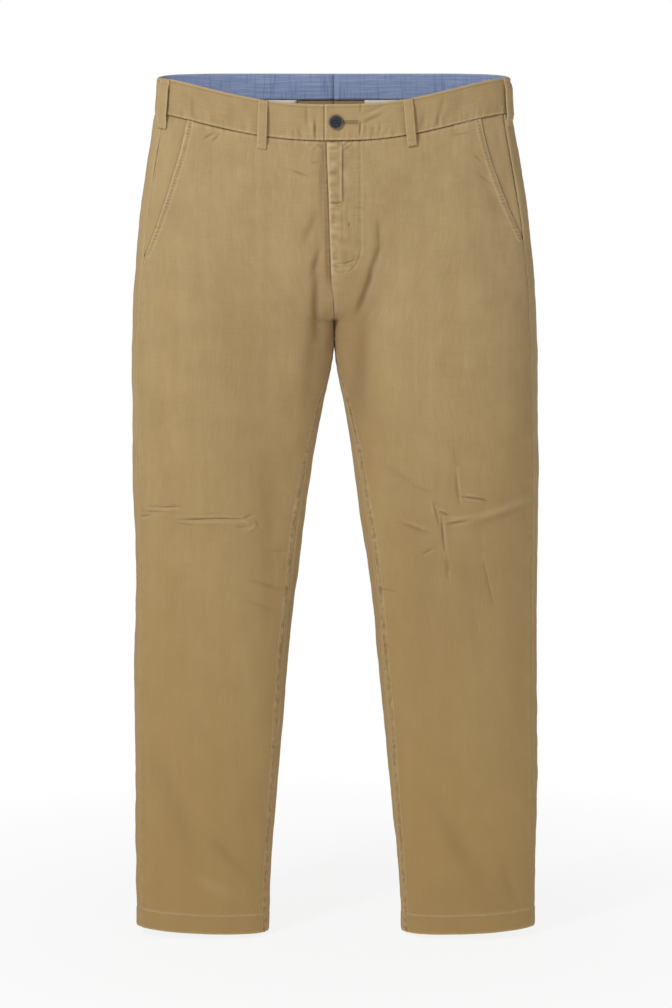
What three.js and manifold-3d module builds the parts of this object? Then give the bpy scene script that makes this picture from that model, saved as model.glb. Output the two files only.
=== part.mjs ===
// Straight chino trousers, filled out as if worn, with no wearer in them.
// Millimetres, +Z up, front towards -Y, wearer's left on +X. The origin is the middle of the waist
// opening, at the height of its sides. "drop" is the distance below the origin along the cloth's rows.
import * as THREE from 'three';
import Module from 'manifold-3d';
import { mergeVertices } from 'three/addons/utils/BufferGeometryUtils.js';

const wasm = await Module();
wasm.setup();

// Driving dimensions
const outseam = 1043;         // waist edge to hem, down the side
const bandHeight = 42.5;
const rise = 292;             // waist level to the crotch seam
const forkHeight = 118;       // height over which the two legs run together into the hips
const flowAbove = 170;        // away from the centre they do so from this far above the fork
const flowBelow = 110;        // to this far below it
const flowFrom = 0.34;        // at this share of the way from the centre to the side seam
const waistDip = 33;          // the front waist edge hangs this much below the sides
const dipCurve = { right: 3, left: 3.4 };     // how steeply it comes up again towards them
const waistLift = 7;          // and the back edge stands this much above them
const dipEnds = 174;          // drop at which the rows are level again
const hemTilt = 7;            // each hem is this much lower on its inner side
const hemTurnUp = 25;
const hipCurve = 2.3;         // superellipse power of the waist and hip sections
const sideSeamHip = 71;       // degrees round from centre front to the side seam, at the hips
const sideSeamLeg = 158;      // degrees round from the inside of the leg to the side seam
const gap = 0.3;              // between sewn pieces

const twill = 1.4;            // wall of the body cloth
const hemWall = 2.7;          // body cloth and its turned-up hem
const bandWall = 2.6;         // two layers and interlining
const bandProud = 0.9;        // the band's face stands this far off the body's
const liningWall = 1;
const liningHeight = 29.5;
const facingWall = 1.2;

const flyLap = 9;             // the left front runs this far past the centre, at the band
const flyLapEnd = 4;          // and this far at the bottom of the fly
const flyEnds = 235;          // drop of the bottom of the fly
const flyWidth = 37;          // centre to the J stitch
const bandLap = 11;           // the left band runs this far past the centre
const bandUnderlap = 12;      // and the right band this far under it
const buttonRadius = 8.75;
const buttonHeight = 3;
const buttonAt = 2.2;         // to the wearer's left of the centre

const loopWidth = 11.5;
const loopWall = 1.6;
const loopGap = 3;            // room for a belt
const loopBelow = { right: 17, left: 15 };    // a loop is sewn down this far below the band

const pocketEnds = { right: 216, left: 196 };    // drop at which a slanted pocket meets the side seam
const pocketTop = { right: 176, left: 175 };   // its upper end, from the centre
const pocketUnder = 18;       // the hip piece runs this far under the front

const weltLength = 138;
const weltHeight = 12;
const weltDrop = 122;
const weltInner = 52;         // inner end of a back pocket, from the centre
const bagInner = { right: 46, left: 37 };
const bagOuter = 1.39;        // outer edge, as a girth
const bagEnds = 222;

// Sections down the garment: half widths to the wearer's right and left, half gap between the legs on
// each side, half depths in front and behind, and how far the inseam is turned to the front.
const columns = ['drop', 'right', 'left', 'gapRight', 'gapLeft', 'front', 'back', 'inseam'];
const sections = [
  [0, 212, 210.5, 0, 0, 44, 45, 0],
  [46, 215.8, 213.5, 0, 0, 47, 52, 0],
  [110, 227, 225, 0, 0, 54, 64, 0],
  [180, 237, 237, 0, 0, 60, 74, 0],
  [254, 243, 243.5, 0, 0, 64, 78, 0],
  [292, 244.5, 245, 0, 0, 65, 77, 0],
  [332, 246, 247, 0.8, 0.6, 64, 73, 6],
  [401, 246, 248.7, 13.9, 13, 57, 63, 15],
  [470, 246.5, 250, 26.8, 24, 49, 53, 21],
  [540, 245, 249.3, 38, 34, 42, 45, 23],
  [622, 243.8, 249.2, 47.5, 45, 38, 40, 23],
  [740, 246, 250.3, 59.3, 57, 37, 41, 21],
  [880, 246.8, 251.1, 71.3, 71, 37, 41, 18],
  [980, 246, 250.6, 79.5, 80, 37, 40, 16],
  [1043, 246, 250, 82.6, 84.4, 36, 39, 15],
];

// Large soft folds: which leg and face, where the middle lies (distance from the centre and drop),
// the turn of its line from level, half length, half width and depth (below 0 is a trough).
const foldColumns = ['leg', 'face', 'across', 'drop', 'turn', 'half', 'width', 'depth'];
const folds = [
  ['right', 'front', 146, 538, 2, 40, 16, -2.2],
  ['right', 'front', 150, 566, -4, 46, 20, 2],
  ['right', 'front', 120, 420, 84, 90, 24, 1.8],
  ['left', 'front', 134, 575, 82, 66, 15, -2.6],
  ['left', 'front', 190, 535, 20, 40, 18, 2.4],
  ['left', 'front', 168, 512, -12, 24, 15, -2],
  ['left', 'front', 125, 400, 96, 90, 24, 1.6],
  ['right', 'back', 140, 590, 6, 50, 18, -2.8],
  ['right', 'back', 150, 632, -8, 44, 20, 2.2],
  ['left', 'back', 150, 584, -7, 52, 18, -3],
  ['left', 'back', 140, 626, 9, 42, 20, 2.2],
  ['left', 'back', 110, 330, 24, 60, 22, -2.4],
  ['right', 'back', 104, 338, -26, 56, 22, -2.4],
];

const named = (names, row) => Object.fromEntries(names.map((name, i) => [name, row[i]]));
const sectionRows = sections.map((row) => named(columns, row));
const foldRows = folds.map((row) => named(foldColumns, row));

const sideName = (side) => (side > 0 ? 'left' : 'right');
const radians = THREE.MathUtils.degToRad;
const mix = THREE.MathUtils.lerp;
const smooth = (value, from, to) => THREE.MathUtils.smoothstep(value, from, to);
const spread = (from, to, count) => Array.from({ length: count + 1 }, (_, i) => mix(from, to, i / count));

// A smooth curve through one column of the section table
function column(name, drop) {
  const last = sectionRows.length - 2;
  let i = sectionRows.findIndex((row, k) => k > 0 && drop <= row.drop) - 1;
  i = i < 0 ? (drop <= 0 ? 0 : last) : i;
  const [a, b] = [sectionRows[i], sectionRows[i + 1]];
  const before = sectionRows[Math.max(i - 1, 0)];
  const after = sectionRows[Math.min(i + 2, last + 1)];
  const span = b.drop - a.drop;
  const t = THREE.MathUtils.clamp((drop - a.drop) / span, -0.2, 1.2);
  const slopeA = (b[name] - before[name]) / (b.drop - before.drop);
  const slopeB = (after[name] - a[name]) / (after.drop - a.drop);
  const rest = 1 - t;
  return a[name] * (1 + 2 * t) * rest * rest + b[name] * t * t * (3 - 2 * t)
    + slopeA * span * t * rest * rest - slopeB * span * t * t * rest;
}

// How much of a row is one hip section rather than two legs. The centre seams run in a quarter of an
// ellipse from the fork, and away from them the legs flow gently into the hips.
function hipShare(girth, drop) {
  const t = THREE.MathUtils.clamp((rise - drop) / forkHeight, 0, 1);
  const seam = Math.sqrt(1 - (1 - t) * (1 - t));
  const flow = 1 - smooth(drop, rise - flowAbove, rise + flowBelow);
  return mix(seam, flow, smooth(Math.min(girth, 2 - girth), 0, flowFrom));
}

const power = (value) => Math.sign(value) * Math.abs(value) ** (2 / hipCurve);

// Round one side, "girth" runs 0 at the centre front or inseam, 1 at the side seam, 2 at the centre
// back or inseam again. This is the bare form on the +X side, before its folds.
function form(side, girth, drop) {
  const name = sideName(side);
  const outer = column(name, drop);
  const inner = column(side > 0 ? 'gapLeft' : 'gapRight', drop);
  const [front, back] = [column('front', drop), column('back', drop)];
  const turned = column('inseam', drop);
  const behind = Math.max(girth - 1, 0);
  const ahead = Math.min(girth, 1);
  const hipTurn = radians(ahead * sideSeamHip + behind * (180 - sideSeamHip));
  const legTurn = radians(turned + ahead * (sideSeamLeg - turned) + behind * (360 + turned - sideSeamLeg));
  const legHalf = (outer - inner) / 2;
  const legX = inner + legHalf * (1 - Math.cos(legTurn));
  const legY = -Math.sin(legTurn) * (Math.sin(legTurn) > 0 ? front : back);
  const hipX = outer * power(Math.sin(hipTurn));
  const hipY = -power(Math.cos(hipTurn)) * (Math.cos(hipTurn) > 0 ? front : back);
  const share = hipShare(girth, drop);
  const x = mix(legX, hipX, share);
  const facing = Math.cos(hipTurn);
  const dip = facing > 0 ? -waistDip * facing ** dipCurve[name] : waistLift * (1 - (1 + facing) ** 2);
  const z = -drop + dip * (1 - smooth(drop, bandHeight, dipEnds))
    - hemTilt * ((outer - x) / (outer - inner)) * smooth(drop, outseam - 320, outseam);
  return new THREE.Vector3(x + gap / 2, mix(legY, hipY, share), z);
}

function foldHeight(side, girth, point, drop) {
  const face = girth < 1 ? 'front' : 'back';
  const fromSeam = Math.min(girth % 1, 1 - (girth % 1));
  const fade = smooth(fromSeam, 0, 0.14);
  let height = 0;
  for (const fold of foldRows) {
    if (fold.leg !== sideName(side) || fold.face !== face) continue;
    const [dx, dz] = [point.x - fold.across, fold.drop - drop];
    const [cos, sin] = [Math.cos(radians(fold.turn)), Math.sin(radians(fold.turn))];
    const along = (dx * cos + dz * sin) / fold.half;
    const over = (-dx * sin + dz * cos) / fold.width;
    height += fold.depth * Math.exp(-over * over - along ** 4);
  }
  return height * fade;
}

const step = 0.004;

// A point of the form, moved out by "lift". Past the centre line it follows the other side.
function skin(side, girth, drop, lift) {
  if (girth < 0) return skin(-side, -girth, drop, lift);
  if (girth > 2) return skin(-side, 4 - girth, drop, lift);
  const point = form(side, girth, drop);
  const back = Math.max(girth - step, 0);
  const ahead = Math.min(girth + step, 2);
  const round = form(side, ahead, drop).sub(form(side, back, drop));
  const down = form(side, girth, drop + 1).sub(form(side, girth, drop - 1));
  const out = down.cross(round).normalize();
  const total = lift + foldHeight(side, girth, point, drop);
  point.addScaledVector(out, total);
  point.x = Math.max(point.x, gap / 2) * side;
  return point;
}

const speed = (side, girth, drop) => form(side, Math.min(girth + step, 2), drop)
  .distanceTo(form(side, Math.max(girth - step, 0), drop))
  / (Math.min(girth + step, 2) - Math.max(girth - step, 0));

// Girth after moving "by" millimetres round the form
const moved = (side, girth, drop, by) => girth + by / speed(side, THREE.MathUtils.clamp(girth, 0, 2), drop);

// Girth at a distance from the centre line, on the front or the back of the hips
function girthAt(side, across, drop, behind = false) {
  const turn = Math.asin((across / column(sideName(side), drop)) ** (hipCurve / 2));
  const degrees = THREE.MathUtils.radToDeg(turn);
  if (behind) return 2 - degrees / (180 - sideSeamHip);
  return degrees / sideSeamHip;
}

// A closed wall over a grid: place(s, row) gives its outer and its inner point, s runs 0 to 1. At the
// fork its quads fold unless s starts at the centre seam, where their short diagonals then lie.
function wall(columnCount, rows, place) {
  const positions = [];
  const index = [];
  const wide = columnCount + 1;
  const layer = wide * rows.length;
  const grid = rows.map((row) => Array.from({ length: wide }, (_, i) => place(i / columnCount, row)));
  for (const face of [0, 1]) {
    for (const line of grid) {
      for (const pair of line) positions.push(...pair[face].toArray());
    }
  }
  const quad = (a, b, c, d) => index.push(a, b, c, a, c, d);
  const at = (i, j) => j * wide + i;
  for (let j = 0; j < rows.length - 1; j += 1) {
    for (let i = 0; i < columnCount; i += 1) {
      quad(at(i, j), at(i, j + 1), at(i + 1, j + 1), at(i + 1, j));
      quad(layer + at(i + 1, j), layer + at(i + 1, j + 1), layer + at(i, j + 1), layer + at(i, j));
    }
  }
  const rim = [];
  for (let i = 0; i < columnCount; i += 1) rim.push(at(i, 0));
  for (let j = 0; j < rows.length - 1; j += 1) rim.push(at(columnCount, j));
  for (let i = columnCount; i > 0; i -= 1) rim.push(at(i, rows.length - 1));
  for (let j = rows.length - 1; j > 0; j -= 1) rim.push(at(0, j));
  rim.forEach((a, k) => {
    const b = rim[(k + 1) % rim.length];
    quad(a, b, layer + b, layer + a);
  });
  return closed(positions, index);
}

// A geometry whose faces point out, whichever way round its grid ran
function closed(positions, index) {
  const corner = (i) => new THREE.Vector3().fromArray(positions, index[i] * 3);
  let volume = 0;
  for (let i = 0; i < index.length; i += 3) {
    volume += corner(i).dot(corner(i + 1).cross(corner(i + 2)));
  }
  const faces = index.slice();
  if (volume < 0) {
    for (let i = 0; i < faces.length; i += 3) [faces[i + 1], faces[i + 2]] = [faces[i + 2], faces[i + 1]];
  }
  const geometry = new THREE.BufferGeometry();
  geometry.setAttribute('position', new THREE.Float32BufferAttribute(positions, 3));
  geometry.setIndex(faces);
  geometry.computeVertexNormals();
  return geometry;
}

const material = (name, color, roughness) => new THREE.MeshStandardMaterial({ name, color, roughness });
const khakiTwill = material('khaki_twill', 0xa38a62, 0.9);
const blueChambray = material('blue_chambray', 0x7888a8, 0.9);
const whitePocketing = material('white_pocketing', 0xe6e3da, 0.9);
const brownHorn = material('brown_horn', 0x2b2522, 0.35);

const trousers = new THREE.Group();
function add(name, geometry, look) {
  const mesh = new THREE.Mesh(geometry, look);
  mesh.name = name;
  trousers.add(mesh);
  return mesh;
}

// Rows down a front or back panel: even above the fork, closer where the fork's curve is flat, then
// down the leg to the two rows that start the hem
function panelRows() {
  const forkTop = rise - forkHeight;
  const hips = spread(bandHeight + gap, forkTop, 6);
  const fork = spread(90, 0, 6).map((turn) => rise - forkHeight * (1 - Math.cos(radians(turn))));
  const leg = spread(rise, outseam - hemTurnUp - 1, 27);
  return [...hips, ...fork.slice(1), ...leg.slice(1), outseam - hemTurnUp, outseam];
}

const wallAt = (drop) => (drop > outseam - hemTurnUp - 0.5 ? hemWall : twill);

// Inner edge of the left front in the fly, past the centre
function flyEdge(drop) {
  const along = (drop - bandHeight) / (flyEnds - bandHeight);
  return mix(flyLap, flyLapEnd, Math.min(along, 1)) * (1 - smooth(drop, flyEnds - 16, flyEnds - 4));
}

// The left front rides over the right in the fly and comes down to the form by the J stitch
function flyLift(side, girth, drop) {
  if (side < 0) return 0;
  const raised = twill + gap + 0.1;
  const across = girth < 0 ? 0 : form(side, girth, drop).x;
  return raised * (1 - smooth(across, 3, flyWidth)) * (1 - smooth(drop, flyEnds + 20, flyEnds + 46));
}

function pocketEdge(side, drop) {
  const name = sideName(side);
  const along = (drop - bandHeight) / (pocketEnds[name] - bandHeight);
  const seamAcross = column(name, drop) * power(Math.sin(radians(sideSeamHip)));
  return along < 1 ? girthAt(side, mix(pocketTop[name], seamAcross, along), drop) : 1;
}

function frontPanel(side) {
  return wall(12, panelRows(), (s, drop) => {
    const lap = side > 0 ? flyEdge(drop) : 0;
    const from = lap > 0.01 ? -girthAt(-side, lap, drop) : moved(side, 0, drop, gap / 2);
    const to = moved(side, pocketEdge(side, drop), drop, -gap / 2);
    const girth = mix(from, to, s);
    const lift = flyLift(side, girth, drop);
    return [skin(side, girth, drop, lift), skin(side, girth, drop, lift - wallAt(drop))];
  });
}

function backPanel(side) {
  return wall(12, panelRows(), (s, drop) => {
    const girth = mix(moved(side, 2, drop, -gap / 2), moved(side, 1, drop, gap / 2), s);
    return [skin(side, girth, drop, 0), skin(side, girth, drop, -wallAt(drop))];
  });
}

// The hip piece behind a slanted pocket, from under the front to the side seam
function pocketFacing(side) {
  const lift = -twill - gap - 0.1;
  return wall(5, spread(bandHeight + gap, pocketEnds[sideName(side)] + 8, 8), (s, drop) => {
    const from = moved(side, pocketEdge(side, drop), drop, -pocketUnder);
    const girth = mix(from, moved(side, 1, drop, -gap / 2), s);
    return [skin(side, girth, drop, lift), skin(side, girth, drop, lift - facingWall)];
  });
}

// The left band rides over the right one at the button and comes down to the form beside it
function bandLift(side, girth, drop) {
  if (side < 0 || girth > 1) return bandProud;
  const across = girth < 0 ? 0 : form(side, girth, drop).x;
  return bandProud + (bandWall + gap) * (1 - smooth(across, bandUnderlap + 2, 48));
}

// Girths round the band that its own wall, its lining and the pocket bags share
const bandGirths = [0.05, 0.1, ...spread(0.18, 0.74, 8), ...spread(0.78, 1.3, 13), ...spread(1.36, 1.96, 8)];

function waistband(side) {
  const last = bandGirths.length + 1;
  return wall(last, spread(0, bandHeight, 2), (s, drop) => {
    const i = Math.round(s * last);
    const edges = [-girthAt(-side, side > 0 ? bandLap : bandUnderlap, drop), moved(side, 2, drop, -gap / 2)];
    const girth = [edges[0], ...bandGirths, edges[1]][i];
    const lift = bandLift(side, girth, drop);
    return [skin(side, girth, drop, lift), skin(side, girth, drop, lift - bandWall)];
  });
}

// The lining strip inside the top of the band
const insideBand = bandProud - bandWall - gap;
function bandLining(side) {
  const girths = bandGirths.filter((girth) => girth > (side > 0 ? 0.2 : 0));
  return wall(girths.length, spread(1.5, 1.5 + liningHeight, 1), (s, drop) => {
    const girth = [...girths, moved(side, 2, drop, -gap / 2)][Math.round(s * girths.length)];
    return [skin(side, girth, drop, insideBand), skin(side, girth, drop, insideBand - liningWall)];
  });
}

// A belt loop: its ends lie on the band and on the body, and the middle stands off
function beltLoop(side, girth) {
  const onBand = bandProud + gap;
  const profile = [
    { drop: 0.5, lift: onBand },
    { drop: 5, lift: onBand },
    { drop: 9, lift: bandProud + 0.7 * loopGap },
    { drop: 14, lift: bandProud + loopGap },
    { drop: bandHeight + 2, lift: bandProud + loopGap },
    { drop: bandHeight + 7, lift: bandProud + 0.6 * loopGap },
    { drop: bandHeight + 12, lift: gap + 0.1 },
    { drop: bandHeight + loopBelow[sideName(side)], lift: gap + 0.1 },
  ];
  return wall(2, profile, (s, row) => {
    const at = moved(side, girth, row.drop, (s - 0.5) * loopWidth);
    return [skin(side, at, row.drop, row.lift + loopWall), skin(side, at, row.drop, row.lift)];
  });
}

// A welt laid on the back over the pocket opening
function backWelt(side) {
  const rows = spread(weltDrop - weltHeight / 2, weltDrop + weltHeight / 2, 1);
  return wall(9, rows, (s, drop) => {
    const from = girthAt(side, weltInner, drop, true);
    const girth = moved(side, from, drop, -s * weltLength);
    return [skin(side, girth, drop, gap + 1.1), skin(side, girth, drop, gap)];
  });
}

// A pocket bag, hanging inside the back from the lower edge of the band's lining
function backBag(side) {
  const girths = bandGirths.filter((girth) => girth > bagOuter && girth < 1.86).reverse();
  const lift = insideBand - 0.6;
  return wall(girths.length, spread(liningHeight + 2, bagEnds, 9), (s, drop) => {
    const inner = girthAt(side, bagInner[sideName(side)], drop, true);
    const girth = [inner, ...girths][Math.round(s * girths.length)];
    return [skin(side, girth, drop, lift), skin(side, girth, drop, lift - liningWall)];
  });
}

function solid(geometry) {
  const bare = geometry.clone();
  bare.deleteAttribute('normal');
  bare.deleteAttribute('uv');
  const merged = mergeVertices(bare, 1e-4);
  return new wasm.Manifold(new wasm.Mesh({
    numProp: 3,
    vertProperties: new Float32Array(merged.attributes.position.array),
    triVerts: new Uint32Array(merged.index.array),
  }));
}

// A dished four-hole button, its back on the XZ plane and its face towards +Y
function fourHoleButton() {
  const profile = [
    [0, 0], [buttonRadius - 1.2, 0], [buttonRadius, 1.1], [buttonRadius - 0.2, 2.4],
    [buttonRadius - 1.1, buttonHeight], [buttonRadius - 2.2, buttonHeight - 0.2],
    [buttonRadius - 3, buttonHeight - 0.9], [0, buttonHeight - 1.1],
  ].map(([radius, height]) => new THREE.Vector2(radius, height));
  let button = solid(new THREE.LatheGeometry(profile, 28));
  for (const turn of [45, 135, 225, 315]) {
    const hole = new THREE.CylinderGeometry(0.9, 0.9, 8, 10);
    hole.translate(2.1 * Math.cos(radians(turn)), 0, 2.1 * Math.sin(radians(turn)));
    button = button.subtract(solid(hole));
  }
  const mesh = button.getMesh();
  const geometry = new THREE.BufferGeometry();
  geometry.setAttribute('position', new THREE.Float32BufferAttribute(mesh.vertProperties, 3));
  geometry.setIndex([...mesh.triVerts]);
  geometry.computeVertexNormals();
  return geometry;
}

const loopsAt = {
  right: { front: 0.285, side: 0.985, back: 1.6 },
  left: { front: 0.315, side: 1.06, back: 1.6 },
};

for (const side of [1, -1]) {
  const name = sideName(side);
  add(`front_${name}`, frontPanel(side), khakiTwill);
  add(`back_${name}`, backPanel(side), khakiTwill);
  add(`pocket_facing_${name}`, pocketFacing(side), khakiTwill);
  add(`waistband_${name}`, waistband(side), khakiTwill);
  add(`waistband_lining_${name}`, bandLining(side), blueChambray);
  add(`back_welt_${name}`, backWelt(side), khakiTwill);
  add(`back_pocket_bag_${name}`, backBag(side), whitePocketing);
  for (const [place, girth] of Object.entries(loopsAt[name])) {
    add(`belt_loop_${place}_${name}`, beltLoop(side, girth), khakiTwill);
  }
}
add('belt_loop_centre_back', beltLoop(1, 2), khakiTwill);

// The button lies on the lapped band and faces along the band's own normal there
const buttonDrop = bandHeight / 2;
const buttonGirth = girthAt(1, buttonAt, buttonDrop);
const bandFace = bandLift(1, buttonGirth, buttonDrop);
const buttonBack = skin(1, buttonGirth, buttonDrop, bandFace + gap + 0.1);
const buttonOut = skin(1, buttonGirth, buttonDrop, bandFace + 1 + gap + 0.1).sub(buttonBack).normalize();
const button = add('waist_button', fourHoleButton(), brownHorn);
button.position.copy(buttonBack);
button.quaternion.setFromUnitVectors(new THREE.Vector3(0, 1, 0), buttonOut);

export default trousers;
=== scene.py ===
import math

import bmesh
import bpy
from mathutils import Matrix, Vector, noise


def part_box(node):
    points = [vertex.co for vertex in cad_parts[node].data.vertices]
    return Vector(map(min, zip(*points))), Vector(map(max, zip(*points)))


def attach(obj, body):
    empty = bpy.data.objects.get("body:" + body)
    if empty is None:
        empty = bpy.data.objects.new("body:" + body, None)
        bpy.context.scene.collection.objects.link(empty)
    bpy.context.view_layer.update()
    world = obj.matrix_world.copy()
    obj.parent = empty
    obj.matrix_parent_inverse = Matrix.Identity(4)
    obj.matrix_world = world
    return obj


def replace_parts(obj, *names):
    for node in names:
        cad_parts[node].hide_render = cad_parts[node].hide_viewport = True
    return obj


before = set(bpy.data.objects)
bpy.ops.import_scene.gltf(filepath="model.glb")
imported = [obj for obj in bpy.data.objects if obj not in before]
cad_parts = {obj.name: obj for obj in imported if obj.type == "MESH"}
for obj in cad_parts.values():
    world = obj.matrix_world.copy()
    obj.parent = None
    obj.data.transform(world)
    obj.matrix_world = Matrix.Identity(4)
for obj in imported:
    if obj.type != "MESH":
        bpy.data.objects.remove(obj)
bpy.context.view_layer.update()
print("frame loaded:", len(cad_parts), "nodes")

mm = 0.001

# the cut of the trousers, the same sizes as the solids
cut = {
    "outseam": 1043, "band": 42.5, "rise": 292, "fork": 118, "flowAbove": 170, "flowBelow": 110,
    "flowFrom": 0.34, "waistDip": 33, "dipCurve": {"right": 3, "left": 3.4}, "waistLift": 7,
    "dipEnds": 174, "hemTilt": 7, "tiltFrom": 320, "hemTurn": 25, "hipCurve": 2.3, "sideSeamHip": 71,
    "sideSeamLeg": 158, "gap": 0.3,
    "seen": 0.1,   # how far past a seam the cloth of a panel runs
}
fly = {"lap": 9, "lapEnd": 4, "ends": 235, "width": 37, "raised": 1.8}
band = {"lap": 11, "underlap": 12, "wall": 2.6, "proud": 0.9, "lining": 29.5}
pocket = {"top": {"right": 176, "left": 175}, "ends": {"right": 216, "left": 196}, "under": 18}
backPocket = {"inner": 52, "length": 138, "height": 12, "drop": 122, "bagInner": {"right": 46, "left": 37},
              "bagOuter": 1.39, "bagEnds": 222}
loop = {"width": 11.5, "wall": 1.6, "gap": 3, "below": {"right": 17, "left": 15}}
loopsAt = {"right": {"front": 0.285, "side": 0.985, "back": 1.6},
           "left": {"front": 0.315, "side": 1.06, "back": 1.6}}

sectionNames = ("drop", "right", "left", "gapRight", "gapLeft", "front", "back", "inseam")
sections = [dict(zip(sectionNames, row)) for row in (
    (0, 212, 210.5, 0, 0, 44, 45, 0),
    (46, 215.8, 213.5, 0, 0, 47, 52, 0),
    (110, 227, 225, 0, 0, 54, 64, 0),
    (180, 237, 237, 0, 0, 60, 74, 0),
    (254, 243, 243.5, 0, 0, 64, 78, 0),
    (292, 244.5, 245, 0, 0, 65, 77, 0),
    (332, 246, 247, 0.8, 0.6, 64, 73, 6),
    (401, 246, 248.7, 13.9, 13, 57, 63, 15),
    (470, 246.5, 250, 26.8, 24, 49, 53, 21),
    (540, 245, 249.3, 38, 34, 42, 45, 23),
    (622, 243.8, 249.2, 47.5, 45, 38, 40, 23),
    (740, 246, 250.3, 59.3, 57, 37, 41, 21),
    (880, 246.8, 251.1, 71.3, 71, 37, 41, 18),
    (980, 246, 250.6, 79.5, 80, 37, 40, 16),
    (1043, 246, 250, 82.6, 84.4, 36, 39, 15),
)]

# soft folds and creases by leg and face: distance of the middle from the centre, how far it lies below
# the waist, turn of its line from level, half length, half width, and depth, below 0 in a trough
foldNames = ("across", "below", "turn", "half", "width", "depth")


def creaseRows(table):
    rows = []
    for (leg, face), lines in table.items():
        for line in lines:
            row = {"leg": leg, "face": face, **dict(zip(foldNames, line))}
            row["cos"], row["sin"] = math.cos(math.radians(row["turn"])), math.sin(math.radians(row["turn"]))
            rows.append(row)
    return rows


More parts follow.
